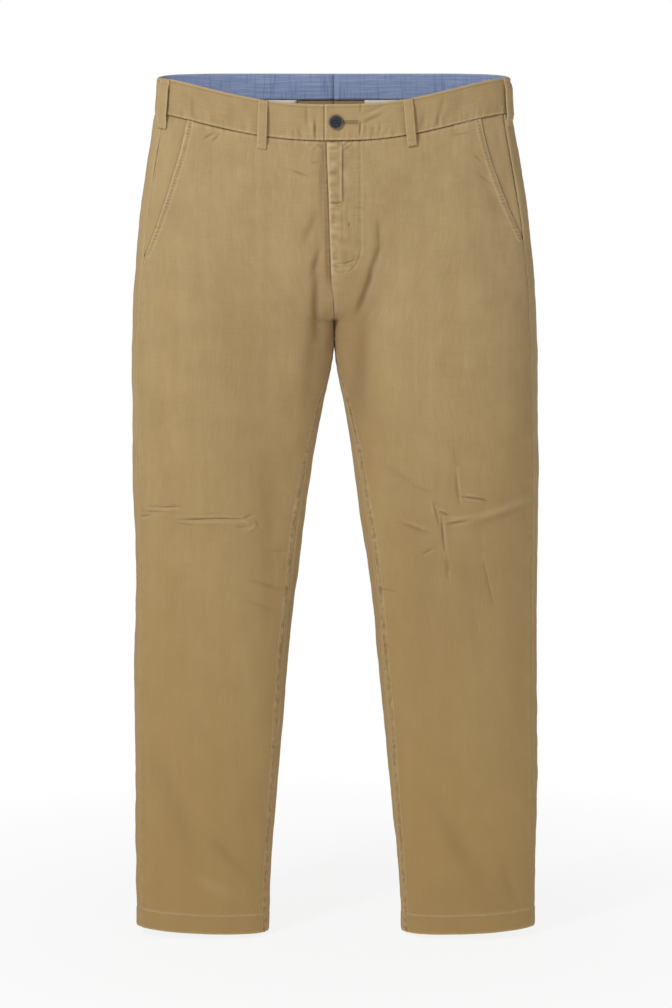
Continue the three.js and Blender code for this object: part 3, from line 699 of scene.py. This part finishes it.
def khakiTwill():
    # garment-washed cotton twill: matte, diagonal ribs, threads of uneven tone, paler worn seam edges and
    # painted highlights, and painted shade
    look = twillLook
    material, shader = newMaterial("khakiTwill", look["colour"], look["roughness"], look["sheen"])
    links = material.node_tree.links
    uv = addNode(material, "ShaderNodeUVMap", {"uv_map": "cloth"})
    slant = {"Rotation": (0, 0, math.radians(27))}
    turned = addNode(material, "ShaderNodeMapping", slant, {"Vector": uv.outputs[0]})
    rib = addNode(material, "ShaderNodeTexWave",
                  {"wave_type": "BANDS", "bands_direction": "X", "Scale": waveScale(look["twillSpacing"]),
                   "Distortion": 0.6, "Detail": 1.0, "Detail Scale": 1.5}, {"Vector": turned.outputs[0]})
    warp = streaks(material, uv.outputs[0], (900, 34, 1), 2.0)
    weft = streaks(material, uv.outputs[0], (42, 800, 1), 2.0)
    cloud = addNode(material, "ShaderNodeTexNoise", {"Scale": 21.0, "Detail": 4.0, "Roughness": 0.62},
                    {"Vector": uv.outputs[0]})
    place = addNode(material, "ShaderNodeTexCoord")
    faded = streaks(material, place.outputs["Object"], (80, 40, 6), 3.0)
    wearAndHighlightMap = addNode(material, "ShaderNodeAttribute", {"attribute_name": "wearAndHighlightMap"})
    base = colourMix(material, "MIX", ramp(material, cloud.outputs[0], 0.3, 0.7, 0.0, look["mottle"]),
                     look["colour"], look["dark"])
    base = colourMix(material, "MIX", ramp(material, warp, 0.45, 0.75, 0.0, look["slub"]),
                     base, look["light"])
    base = colourMix(material, "MIX", ramp(material, weft, 0.5, 0.8, 0.0, look["slub"]),
                     base, look["dark"])
    base = colourMix(material, "MIX", ramp(material, faded, 0.42, 0.72, 0.0, 0.12), base,
                     look["light"])
    base = colourMix(material, "MULTIPLY", ramp(material, rib.outputs["Fac"], 0.0, 0.5, 0.2, 0.0),
                     base, look["dark"])
    parted = addNode(material, "ShaderNodeSeparateXYZ", None, {"Vector": place.outputs["Object"]})
    lower = ramp(material, parted.outputs["Z"], -0.12, -0.95, 0.0, 0.75)   # darker and warmer towards the hems
    base = colourMix(material, "MIX", lower, base, look["low"])
    # painted shade: crease troughs, crevices, lines under edges and the inner thighs darkened
    paintedShadeNode = addNode(material, "ShaderNodeAttribute", {"attribute_name": "paintedShade"})
    base = colourMix(material, "MIX", ramp(material, paintedShadeNode.outputs["Fac"], 0.0, 1.0, 0.0, 0.75), base,
                     look["paintedShade"])
    # worn seam edges and painted highlights mixed in paler
    paleWearAndHighlight = ramp(material, wearAndHighlightMap.outputs["Fac"], 0.0, 1.0, 0.0, look["wearAndPaintedLight"])
    base = colourMix(material, "MIX", paleWearAndHighlight, base, look["light"])
    links.new(base, shader.inputs["Base Color"])
    ribs = rib.outputs["Fac"]
    threads = addNode(material, "ShaderNodeMath", {"operation": "ADD"}, {0: ribs, 1: warp})
    relief = addNode(material, "ShaderNodeBump", {"Strength": 0.35, "Distance": 0.00012},
                     {"Height": threads.outputs[0]})
    links.new(relief.outputs[0], shader.inputs["Normal"])
    return material


def chambray():
    # plain weave of blue warp and white weft, so both run through it as fine uneven streaks
    material, shader = newMaterial("blueChambray", "#7888ab", 0.88, 0.1)
    links = material.node_tree.links
    uv = addNode(material, "ShaderNodeUVMap", {"uv_map": "cloth"})
    warp = streaks(material, uv.outputs[0], (520, 36, 1), 2.5)
    weft = streaks(material, uv.outputs[0], (30, 560, 1), 2.5)
    base = colourMix(material, "MIX", ramp(material, warp, 0.42, 0.66, 0.0, 0.6), "#93a5d0", "#bccae6")
    base = colourMix(material, "MIX", ramp(material, weft, 0.5, 0.7, 0.0, 0.55), base, "#6f81b0")
    links.new(base, shader.inputs["Base Color"])
    relief = addNode(material, "ShaderNodeBump", {"Strength": 0.3, "Distance": 0.0001}, {"Height": weft})
    links.new(relief.outputs[0], shader.inputs["Normal"])
    return material


def pocketing():
    # thin bleached cotton with a visible plain weave
    material, shader = newMaterial("whitePocketing", "#ebe8e0", 0.9, 0.05)
    uv = addNode(material, "ShaderNodeUVMap", {"uv_map": "cloth"})
    weave = addNode(material, "ShaderNodeTexWave", {"bands_direction": "X", "Scale": waveScale(0.0009),
                                                    "Distortion": 1.0}, {"Vector": uv.outputs[0]})
    shadow = ramp(material, weave.outputs["Fac"], 0, 1, 0.1, 0.0)
    base = colourMix(material, "MULTIPLY", shadow, "#ebe8e0", "#c9c5ba")
    material.node_tree.links.new(base, shader.inputs["Base Color"])
    return material


def horn():
    # polished dark horn: near-black brown with cloudy streaks and a soft gloss; its rim is painted paler, a
    # painted highlight
    material, shader = newMaterial("brownHorn", "#2a2626", 0.3)
    shader.inputs["IOR"].default_value = 1.55
    place = addNode(material, "ShaderNodeTexCoord")
    streak = addNode(material, "ShaderNodeTexNoise", {"Scale": 420.0, "Detail": 3.0, "Distortion": 1.2},
                     {"Vector": place.outputs["Object"]})
    middle = addNode(material, "ShaderNodeVectorMath", {"operation": "SUBTRACT"},
                     {0: place.outputs["Object"]})
    middle.inputs[1].default_value = buttonMiddle
    flatTo = addNode(material, "ShaderNodeVectorMath", {"operation": "MULTIPLY"}, {0: middle.outputs[0]})
    flatTo.inputs[1].default_value = (1, 0, 1)
    reach = addNode(material, "ShaderNodeVectorMath", {"operation": "LENGTH"}, {0: flatTo.outputs[0]})
    # painted highlight: a paler ring round the rim
    rimHighlight = ramp(material, reach.outputs["Value"], 6.4 * mm, 7.6 * mm, 0.0, 1.0)
    base = colourMix(material, "MIX", rimHighlight, "#1b212c", "#5f5346")
    cloudy = ramp(material, streak.outputs[0], 0.48, 0.72, 0.0, 0.5)
    base = colourMix(material, "MIX", cloudy, base, "#68655f")
    material.node_tree.links.new(base, shader.inputs["Base Color"])
    return material


def thread(name, colour):
    # spun polyester-cotton sewing thread, matte with a faint sheen
    material, shader = newMaterial(name, colour, 0.75, 0.2)
    place = addNode(material, "ShaderNodeTexCoord")
    ply = addNode(material, "ShaderNodeTexNoise", {"Scale": 900.0, "Detail": 1.0},
                  {"Vector": place.outputs["Object"]})
    twist = ramp(material, ply.outputs[0], 0.3, 0.7, 0.35, 0.0)
    base = colourMix(material, "MULTIPLY", twist, colour, "#8a744b")
    material.node_tree.links.new(base, shader.inputs["Base Color"])
    return material


low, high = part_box("waist_button")
buttonMiddle = (low + high) / 2
looks = {"khaki_twill": khakiTwill(), "blue_chambray": chambray(), "white_pocketing": pocketing(),
         "brown_horn": horn()}
topThread = thread("khakiThread", "#d2bf98")
holeThread = thread("oliveThread", "#7d6a45")
darkThread = thread("brownThread", "#3a3230")
print("materials made")

root = "root"
pieces = {}


def finishPiece(bm, name, slot, material=None):
    mesh = bpy.data.meshes.new(name)
    bm.to_mesh(mesh)
    bm.free()
    for polygon in mesh.polygons:
        polygon.use_smooth = True
    mesh.materials.append(material or looks[slot])
    piece = bpy.data.objects.new(name, mesh)
    bpy.context.scene.collection.objects.link(piece)
    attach(piece, root)
    pieces[name] = piece
    return piece


def spreadOut(count, crowd):
    # shares from 0 to 1, closer together at both ends
    return [i / count - crowd * math.sin(2 * math.pi * i / count) / (2 * math.pi) for i in range(count + 1)]


clothNames = ("slot", "columns", "gathered", "wall")   # gathered: how much closer the outer columns stand
clothKinds = {kind: dict(zip(clothNames, row)) for kind, row in {
    "front": ("khaki_twill", 78, 0.5, 1.2), "back": ("khaki_twill", 76, 0.5, 1.2),
    "facing": ("khaki_twill", 26, 0.5, 1.0), "waistband": ("khaki_twill", 200, 0.3, 2.2),
    "lining": ("blue_chambray", 160, 0.2, 0.7), "pocket_bag": ("white_pocketing", 50, 0, 0.6),
    "welt": ("khaki_twill", 70, 0.5, 1.0), "loop": ("khaki_twill", 14, 0.3, loop["wall"]),
}.items()}


def layCloth(kind, label, downs, place, turned, near=None):
    # a grid of cloth laid on the form, finer where a crease runs, then given its thickness inwards
    sort = clothKinds[kind]
    across = spreadOut(sort["columns"], sort["gathered"])
    bm = bmesh.new()
    cloth = bm.loops.layers.uv.new("cloth")
    # per point: its wear with painted highlight, and its painted shade
    wearAndHighlightMap = bm.verts.layers.float.new("wearAndHighlightMap")
    paintedShade = bm.verts.layers.float.new("paintedShade")
    bmesh.ops.create_grid(bm, x_segments=len(across) - 1, y_segments=len(downs) - 1, size=0.5)

    def between(shares, at):
        at = min(max(at * (len(shares) - 1), 0.0), len(shares) - 1.0)
        low = min(int(at), len(shares) - 2)
        return mix(shares[low], shares[low + 1], at - low)

    def flatPlace(vert):
        return between(across, vert.co.x + 0.5), between(downs, 0.5 - vert.co.y)

    if near:
        close = {}
        for halved in (0, 1):
            for vert in bm.verts:
                key = vert.co.to_tuple(6)
                if key not in close:
                    close[key] = near(*flatPlace(vert))
            edges = [e for e in bm.edges if all(close[v.co.to_tuple(6)] > halved for v in e.verts)]
            bmesh.ops.subdivide_edges(bm, edges=edges, cuts=1, use_grid_fill=True)
    flat = {}
    for vert in bm.verts:
        point, wearAndPaintedLight, u, v = place(*flatPlace(vert))
        wearAndPaintedLight, dark = wearAndPaintedLight if isinstance(wearAndPaintedLight, tuple) else (wearAndPaintedLight, 0.0)
        vert.co = point
        vert[wearAndHighlightMap], vert[paintedShade] = min(wearAndPaintedLight, 1.0), min(max(dark, 0.0), 1.0)
        flat[vert] = (u * mm, v * mm)
    for face in bm.faces:
        for corner in face.loops:
            corner[cloth].uv = flat[corner.vert]
    if turned:
        bmesh.ops.reverse_faces(bm, faces=bm.faces)
    piece = finishPiece(bm, "cloth_" + kind + "_" + label, sort["slot"])
    thick = piece.modifiers.new("thickness", "SOLIDIFY")
    thick.thickness = sort["wall"] * mm
    thick.offset = -1
    thick.use_even_offset = False
    return piece


def nearCrease(side, girth, drop):
    # how often the net of points is halved here: twice by a narrow crease, once by the fly and the seams
    point = form(side if girth >= 0 else -side, min(abs(girth), 2), drop)
    across, below = math.copysign(point.x, girth), -point.z
    face = "front" if girth < 1 else "back"
    for row in narrow:
        elsewhere = row["leg"] != sideName(side) or row["face"] != face
        if elsewhere or abs(below - row["below"]) > row["half"] + 12:
            continue
        dx, dz = across - row["across"], row["below"] - below
        along, over = dx * row["cos"] + dz * row["sin"], -dx * row["sin"] + dz * row["cos"]
        if abs(along) < 1.15 * row["half"] + 2 and abs(over) < 1.8 * row["width"] + 1.5:
            return 2
    if face == "back":
        return 0
    if drop < fly["ends"] + 10 and across < (36 if side > 0 else 16):
        return 2 if side > 0 and across < 13 and below < 156 else 1
    if drop < 58 or drop < 250 and 0 < pocketEdge(side, drop) - girth < 0.06:
        return 1
    return 0


narrow = [row for row in creases if row["width"] < 2.5]


def rowsDown(stops):
    # drops from the first stop to the last, each stretch with its own spacing
    rows = [stops[0][0]]
    for (start, spacing), (end, _) in zip(stops, stops[1:]):
        count = max(round((end - start) / spacing), 1)
        rows += [start + (end - start) * (k + 1) / count for k in range(count)]
    return rows


tuck = 1.2   # the cloth runs this far on under the band, so that no light shows in the seam
panelRows = rowsDown([(cut["band"] - tuck, 1.0), (52, 2.8), (238, 3.4), (1008, 1.6),
                      (cut["outseam"], 1.0)])


def frontPanel(side):
    def girthFor(s, drop):
        lap = flyEdge(drop) if side > 0 else 0
        start = -girthAt(-side, lap, drop) if lap > 0.01 else 0
        return mix(start, moved(side, pocketEdge(side, drop), drop, cut["seen"]), s)

    def place(s, drop):
        girth = girthFor(s, drop)
        point, _, wearAndPaintedLight = frontCloth(side, girth, drop)
        return point, wearAndPaintedLight, 240 * girth * side, drop

    def near(s, drop):
        return nearCrease(side, girthFor(s, drop), drop)

    return layCloth("front", sideName(side), panelRows, place, side < 0, near)


def backPanel(side):
    def place(s, drop):
        girth = mix(moved(side, 1, drop, -cut["seen"]), moved(side, 2, drop, cut["seen"]), s)
        point, _, wearAndPaintedLight = backCloth(side, girth, drop)
        return point, wearAndPaintedLight, 260 * girth * side, drop

    return layCloth("back", sideName(side), panelRows, place, side < 0)


def pocketFacing(side):
    name = sideName(side)
    ends = pocket["ends"][name] + 8

    def place(s, drop):
        start = moved(side, pocketEdge(side, drop), drop, -pocket["under"])
        girth = mix(start, moved(side, 1, drop, cut["seen"]), s)
        point, out, speed = frameAt(side, girth, drop)
        fromSeam = (1 - girth) * speed
        fromEdge = (girth - pocketEdge(side, drop)) * speed
        height = mix(-1.7, -0.1, smooth(-fromSeam, -14, -2) * smooth(fromEdge, 1, 9))
        height += seamForm(fromSeam, ()) + pucker(side, drop, fromSeam, 71, 0.4, 12)
        height -= 1.2 * (1 - smooth(drop - cut["band"], -1, 1.6))
        point = point + out * height
        point.x *= side
        # painted shade under the pocket's front edge and just under the band
        dark = 0.55 * bump(fromEdge, 2.2) + 0.5 * bump(drop - cut["band"] - 0.4, 1.1)
        return point * mm, (0.3 * bump(fromSeam - 0.8, 1.5), dark), 240 * girth * side + 40, drop

    rows = rowsDown([(cut["band"] - tuck, 1.0), (52, 2.6), (ends, 3.4)])
    return layCloth("facing", name, rows, place, side < 0)


def waistband(side):
    def startAt(drop):
        return -girthAt(-side, band["lap"] if side > 0 else band["underlap"], drop)

    def place(s, drop):
        girth = mix(startAt(drop), moved(side, 2, drop, cut["seen"]), s)
        point, _, wearAndPaintedLight = bandCloth(side, girth, drop)
        return point, wearAndPaintedLight, drop, 250 * girth * side

    def near(s, drop):
        girth = mix(startAt(drop), 2, s)
        return 2 if girth < girthAt(side, 68, drop) else 1 if girth < 1 else 0

    rows = rowsDown([(0, 0.7), (4, 2.4), (cut["band"] - 4, 0.7), (cut["band"], 1)])
    return layCloth("waistband", sideName(side), rows, place, side < 0, near)


def liningStrip(side):
    def place(s, drop):
        girth = mix(girthAt(side, 52 if side > 0 else 2, drop), moved(side, 2, drop, cut["seen"]), s)
        point, out, _ = frameAt(side, girth, drop)
        height = band["proud"] - band["wall"] - 0.45 + 0.3 * soft(point.x * side, point.y, point.z, 16, 9)
        height += -0.35 * bump(drop - band["lining"] - 1.5, 1.2)
        point = point + out * min(height, -1.75)
        point.x *= side
        return point * mm, 0.0, drop, 250 * girth * side

    rows = rowsDown([(0.3, 1.2), (5, 2.6), (band["lining"] + 1.5, 1.2)])
    return layCloth("lining", sideName(side), rows, place, side < 0)


def pocketBag(side):
    name = sideName(side)

    def place(s, drop):
        inner = girthAt(side, backPocket["bagInner"][name], drop, True)
        girth = mix(inner, backPocket["bagOuter"], s)
        point, out, _ = frameAt(side, girth, drop)
        point = point + out * (-2.4 + 0.35 * soft(point.x * side, point.y, point.z, 22, 12))
        point.x *= side
        return point * mm, 0.0, 260 * girth, drop

    rows = rowsDown([(band["lining"] + 2, 3), (backPocket["bagEnds"], 3)])
    return layCloth("pocket_bag", name, rows, place, side > 0)


def backWelt(side):
    low, high = backPocket["drop"] - backPocket["height"] / 2, backPocket["drop"] + backPocket["height"] / 2

    def place(s, drop):
        start = girthAt(side, backPocket["inner"], drop, True)
        girth = moved(side, start, drop, -s * backPocket["length"])
        point, out, _ = backCloth(side, girth, drop)
        across = min(s, 1 - s) * backPocket["length"]
        middle = drop - backPocket["drop"]
        height = 1.5 - 0.9 * bump(across, 1.2) - 0.9 * bump(middle - 6, 1) - 0.9 * bump(middle + 6, 1)
        height -= 0.8 * bump(middle, 0.8)
        # the welt painted a little paler all over, and painted shade along its slit
        return point + out * height * mm, (0.3, 0.8 * bump(middle, 1)), drop, 250 * girth * side

    rows = rowsDown([(low, 0.7), (high, 0.7)])
    return layCloth("welt", sideName(side), rows, place, side > 0)


def beltLoop(side, girth, label):
    ends = cut["band"] + loop["below"][sideName(side)]
    lean = -3.5 if label == "front_left" else 0
    profile = [(0.3, 0.8), (1.8, 1.5), (5, 1.4), (9, 3.0), (14, 3.9), (cut["band"] + 1, 3.9),
               (cut["band"] + 6, 2.6), (cut["band"] + 10, 0.7), (ends - 2, 0.7), (ends, 0.2)]

    def liftAt(drop):
        for (a, low), (b, high) in zip(profile, profile[1:]):
            if drop <= b:
                return mix(low, high, smooth(drop, a, b))
        return profile[-1][1]

    def place(s, drop):
        at = moved(side, girth, drop, (s - 0.5) * loop["width"] + lean * (1 - drop / ends))
        crossed = at > 2
        sign = -1 if crossed else 1
        point, out, _ = frameAt(side * sign, 4 - at if crossed else at, drop)
        fromEdge = min(s, 1 - s) * loop["width"]
        height = liftAt(drop) + loop["wall"] - 0.55 * bump(fromEdge, 0.9) - 0.25 * bump(fromEdge - 2.2, 0.7)
        height += 0.18 * noise.noise(Vector((drop / 5, s * 2, girth * 9 + side)))
        point = point + out * height
        point.x *= side * sign
        return point * mm, 0.45 * bump(fromEdge, 1.3), s * loop["width"], drop

    rows = rowsDown([(0.3, 0.8), (16, 2.6), (cut["band"] - 2, 0.9), (ends, 1)])
    return layCloth("loop", label, rows, place, side < 0)


for side in (1, -1):
    name = sideName(side)
    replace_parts(frontPanel(side), "front_" + name)
    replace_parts(backPanel(side), "back_" + name)
    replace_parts(pocketFacing(side), "pocket_facing_" + name)
    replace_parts(waistband(side), "waistband_" + name)
    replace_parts(liningStrip(side), "waistband_lining_" + name)
    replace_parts(pocketBag(side), "back_pocket_bag_" + name)
    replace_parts(backWelt(side), "back_welt_" + name)
    for where, girth in loopsAt[name].items():
        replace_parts(beltLoop(side, girth, where + "_" + name), "belt_loop_" + where + "_" + name)
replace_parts(beltLoop(1, 2, "centre_back"), "belt_loop_centre_back")
print("cloth laid:", len(pieces), "pieces,", sum(len(p.data.polygons) for p in pieces.values()), "faces")

# Stitches
stitch = {"length": 2.4, "space": 1.0, "radius": 0.42, "sunk": 0.08}


def sewRow(rows, trail, length=None, radius=None, sunk=None):
    # short rounded stitches along a trail of points and ways out, made in small lots and joined
    length, radius = length or stitch["length"], radius or stitch["radius"]
    sunk = stitch["sunk"] if sunk is None else sunk
    pitch = (length + stitch["space"]) * mm
    travelled, nextAt = 0.0, pitch / 2
    lot, inLot = bmesh.new(), 0
    for (a, outA), (b, outB) in zip(trail, trail[1:]):
        run = (b - a).length
        while run > 0 and nextAt < travelled + run:
            t = (nextAt - travelled) / run
            centre = a.lerp(b, t)
            out = outA.lerp(outB, t).normalized()
            along = (b - a).normalized()
            wide = out.cross(along).normalized()
            spin = Matrix((along, wide, out)).transposed().to_4x4()
            size = Matrix.Diagonal((length * mm / 2, radius * mm, radius * mm * 0.8, 1))
            bmesh.ops.create_uvsphere(lot, u_segments=6, v_segments=4, radius=1,
                                      matrix=Matrix.Translation(centre - out * sunk * mm) @ spin @ size
                                      @ Matrix.Rotation(math.pi / 2, 4, "Y"))
            nextAt += pitch
            inLot += 1
            if inLot == 30:
                joinLot(rows, lot)
                lot, inLot = bmesh.new(), 0
        travelled += run
    joinLot(rows, lot)


def joinLot(rows, lot):
    passed = bpy.data.meshes.new("lot")
    lot.to_mesh(passed)
    lot.free()
    rows.from_mesh(passed)
    bpy.data.meshes.remove(passed)


def trailOf(cloth, side, path):
    trail = []
    for girth, drop in path:
        point, out, _ = cloth(side, girth, drop)
        trail.append((point, out))
    return trail


def drops(start, end, spacing=2.0):
    count = max(int(abs(end - start) / spacing), 1)
    return [mix(start, end, k / count) for k in range(count + 1)]


def sewLegs(side):
    bm = bmesh.new()
    name = sideName(side)
    pocketEnd = pocket["ends"][name]
    for inset in stitchRows["pocket"]:
        path = [(moved(side, pocketEdge(side, d), d, -inset), d) for d in drops(48, pocketEnd - 1)]
        sewRow(bm, trailOf(frontCloth, side, path))
    for inset in stitchRows["seam"]:   # inseam, sewn down twice on the front
        path = [(moved(side, 0, d, inset), d) for d in drops(cut["rise"] + 8, cut["outseam"] - 2)]
        sewRow(bm, trailOf(frontCloth, side, path))
    hem = cut["outseam"] - cut["hemTurn"] + 1.5
    sewRow(bm, trailOf(frontCloth, side, [(g / 90, hem) for g in range(1, 90)]))
    sewRow(bm, trailOf(backCloth, side, [(1 + g / 90, hem) for g in range(1, 90)]))
    for inset in stitchRows["seam"]:   # seat seam
        path = [(moved(side, 2, d, -inset), d) for d in drops(50, cut["rise"] - 30)]
        sewRow(bm, trailOf(backCloth, side, path))
    if side > 0:
        edgePath = [(-girthAt(-1, flyEdge(d), d) + 1.6 / 560, d) for d in drops(48, fly["ends"] - 18)]
        sewRow(bm, trailOf(frontCloth, side, edgePath))
        jPath = [(girthAt(1, jLine["across"], d), d) for d in drops(48, jLine["straight"])]
        for turn in range(5, 91, 5):
            c, s = math.cos(math.radians(turn)), math.sin(math.radians(turn))
            drop = jLine["straight"] + jLine["round"] * s
            jPath.append((girthAt(1, max(jLine["across"] * c, 0.6), drop), drop))
        sewRow(bm, trailOf(frontCloth, side, jPath))
    # bar tacks at the pocket's ends
    for drop, size in ((52, 5.5), (pocketEnd - 6, 5.5)):
        for k in range(9):
            start = moved(side, pocketEdge(side, drop), drop, -1.4)
            a, outA, _ = frontCloth(side, start, drop + k * 0.55)
            b, outB, _ = frontCloth(side, moved(side, start, drop, -size), drop + k * 0.55)
            sewRow(bm, [(a, outA), (b, outB)], length=size - 1, radius=0.3, sunk=-0.1)
    piece = finishPiece(bm, "stitches_legs_" + name, "khaki_twill", topThread)
    return piece


def sewBand(side):
    bm = bmesh.new()
    for drop in (1.8, cut["band"] - 1.6):
        low = -girthAt(-1, band["lap"] - 1.8, drop) if side > 0 else girthAt(-1, 1, drop)
        path = [(mix(low, 1.995, k / 330), drop) for k in range(331)]
        sewRow(bm, trailOf(bandCloth, side, path))
    if side > 0:
        path = [(-girthAt(-1, band["lap"] - 1.8, d), d) for d in drops(3, cut["band"] - 3, 1.5)]
        sewRow(bm, trailOf(bandCloth, side, path))
    return finishPiece(bm, "stitches_waistband_" + sideName(side), "khaki_twill", topThread)


def sewLoop(label):
    # a loop's two edge rows and the tack at each end
    bm = bmesh.new()
    body = pieces["cloth_loop_" + label]
    grid = [v.co for v in body.data.vertices]
    wide = clothKinds["loop"]["columns"] + 1
    rows = len(grid) // wide
    for col in (2, wide - 3):
        trail = []
        for j in range(rows):
            a = grid[j * wide + col]
            left, right = grid[j * wide + col - 1], grid[j * wide + col + 1]
            up, dn = grid[min(j + 1, rows - 1) * wide + col], grid[max(j - 1, 0) * wide + col]
            out = (right - left).cross(up - dn).normalized()
            middle = Vector((0, 0.004, a.z))
            out = out if out.dot(a - middle) > 0 else -out
            trail.append((a.copy(), out))
        sewRow(bm, trail, length=2.0, radius=0.26)
    for j in (3, 5, rows - 5, rows - 3):
        row = [grid[j * wide + i] for i in range(2, wide - 2)]
        outward = Vector((row[len(row) // 2].x * 0.2, row[len(row) // 2].y, 0)).normalized()
        sewRow(bm, [(p.copy(), outward) for p in row], length=1.6, radius=0.3)
    return finishPiece(bm, "stitches_loop_" + label, "khaki_twill", topThread)


def sewButtonhole():
    # keyhole-free worked slit beside the button, with a dark gap between its two lips
    bm = bmesh.new()
    hole = buttonhole
    count = 24
    for k in range(count):
        across = mix(hole["from"], hole["to"], k / (count - 1))
        for lip in (-1, 1):
            near, outA, _ = bandCloth(1, girthAt(1, across, hole["drop"]), hole["drop"] + lip * 0.35)
            far, outB, _ = bandCloth(1, girthAt(1, across, hole["drop"]),
                                     hole["drop"] + lip * (hole["lip"] + 0.6))
            sewRow(bm, [(near, outA), (far, outB)], length=1.5, radius=0.36, sunk=-0.05)
    return finishPiece(bm, "stitches_buttonhole", "khaki_twill", holeThread)


def sewButton():
    # thread crossed through the four holes
    bm = bmesh.new()
    centre, facing = buttonMiddle, Vector((0, -1, 0))
    face = low.y + 0.9 * mm
    for turn in (45, 135):
        c, s = math.cos(math.radians(turn)) * 2.1 * mm, math.sin(math.radians(turn)) * 2.1 * mm
        a, b = Vector((centre.x - c, face, centre.z - s)), Vector((centre.x + c, face, centre.z + s))
        for shift in (-0.35, 0.35):
            off = Vector((s, 0, -c)).normalized() * shift * mm
            sewRow(bm, [(a + off, facing), (b + off, facing)], length=3.4, radius=0.34, sunk=-0.3)
    return finishPiece(bm, "stitches_button", "brown_horn", darkThread)


for side in (1, -1):
    name = sideName(side)
    sewLegs(side)
    sewBand(side)
    for where, girth in loopsAt[name].items():
        sewLoop(where + "_" + name)
sewLoop("centre_back")
sewButtonhole()
sewButton()
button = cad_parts["waist_button"]
for place in button.material_slots:
    place.material = looks["brown_horn"]
print("stitches sewn")

# The cut: each cloth piece's flat size
flatCuts = {
    "cloth_front": {"flat": (0.29, 1.0), "area": 0.232, "held": "hung", "on": "cloth_waistband_"},
    "cloth_back": {"flat": (0.33, 1.02), "area": 0.262, "held": "hung", "on": "cloth_waistband_"},
    "cloth_facing": {"flat": (0.056, 0.175), "area": 0.0058, "held": "hung", "on": "cloth_waistband_"},
    "cloth_waistband": {"flat": (0.47, 0.0425), "area": 0.0199, "held": "stretched", "on": None},
    "cloth_lining": {"flat": (0.455, 0.0295), "area": 0.0134, "held": "stretched", "on": "cloth_waistband_"},
    "cloth_pocket_bag": {"flat": (0.175, 0.19), "area": 0.031, "held": "hung", "on": "cloth_waistband_"},
    "cloth_welt": {"flat": (0.138, 0.012), "area": 0.00165, "held": "stretched", "on": "cloth_back_"},
}
for side in (1, -1):
    for start, cutting in flatCuts.items():
        piece = pieces[start + "_" + sideName(side)]
        on = [pieces[cutting["on"] + sideName(side)]] if cutting["on"] else []

# Camera: the whole photo is 672 x 1008, seen from a little over three metres, just under the waist
shot = {"away": 3.3, "height": -0.134, "aim": -0.516, "side": 0.0022, "focalPixels": 2712, "tall": 1008}
camera = bpy.data.objects.new("camera", bpy.data.cameras.new("camera"))
camera.data.sensor_width = 36
camera.data.lens = shot["focalPixels"] * 36 / shot["tall"]
camera.location = (shot["side"], -shot["away"], shot["height"])
pitch = math.atan2(shot["height"] - shot["aim"], shot["away"])
camera.rotation_euler = (math.pi / 2 - pitch, 0, 0)
bpy.context.scene.collection.objects.link(camera)
bpy.context.scene.camera = camera


def areaLight(name, place, aim, size, watts, colour="#ffffff"):
    light = bpy.data.lights.new(name, "AREA")
    light.shape, light.size, light.energy = "DISK", size, watts
    light.color = linear(colour)[:3]
    lamp = bpy.data.objects.new(name, light)
    lamp.location = place
    lamp.rotation_euler = (Vector(aim) - Vector(place)).to_track_quat("-Z", "Y").to_euler()
    bpy.context.scene.collection.objects.link(lamp)


areaLight("keyLight", (-1.2, -1.65, 1.05), (0, 0, -0.4), 0.4, 28)
areaLight("fillLight", (1.8, -2.4, -0.2), (0, 0, -0.5), 2.0, 4)

world = bpy.data.worlds.new("paleRoom")
world.use_nodes = True
nodes, links = world.node_tree.nodes, world.node_tree.links
seen = nodes["Background"]
seen.inputs["Color"].default_value = (1, 1, 1, 1)
seen.inputs["Strength"].default_value = 1.0
lit = nodes.new("ShaderNodeBackground")
lit.inputs["Color"].default_value = (1, 1, 1, 1)
lit.inputs["Strength"].default_value = 0.29
rays, chosen = nodes.new("ShaderNodeLightPath"), nodes.new("ShaderNodeMixShader")
links.new(rays.outputs["Is Camera Ray"], chosen.inputs[0])
links.new(lit.outputs[0], chosen.inputs[1])
links.new(seen.outputs[0], chosen.inputs[2])
links.new(chosen.outputs[0], nodes["World Output"].inputs["Surface"])
bpy.context.scene.world = world
bpy.context.scene.view_settings.view_transform = "Standard"


def paleFloor():
    # a white floor that fades into the room's white a metre or so from the hems
    bm = bmesh.new()
    bmesh.ops.create_circle(bm, cap_ends=True, segments=96, radius=6)
    for vert in bm.verts:
        vert.co.z = -1.0545
    floor = bpy.data.objects.new("floor", bpy.data.meshes.new("floor"))
    bm.to_mesh(floor.data)
    bm.free()
    material, shader = newMaterial("palePaper", "#f4f4f4", 0.8)
    place = addNode(material, "ShaderNodeTexCoord")
    length = addNode(material, "ShaderNodeVectorMath", {"operation": "LENGTH"}, {0: place.outputs["Object"]})
    glow = addNode(material, "ShaderNodeEmission", {"Color": (1, 1, 1, 1), "Strength": 1.0})
    both = addNode(material, "ShaderNodeMixShader", None,
                   {0: ramp(material, length.outputs["Value"], 1.06, 1.4, 0.86, 1.0), 1: shader.outputs[0],
                    2: glow.outputs[0]})
    surface = material.node_tree.nodes["Material Output"].inputs["Surface"]
    material.node_tree.links.new(both.outputs[0], surface)
    floor.data.materials.append(material)
    bpy.context.scene.collection.objects.link(floor)


paleFloor()
print("camera, lights and floor set")
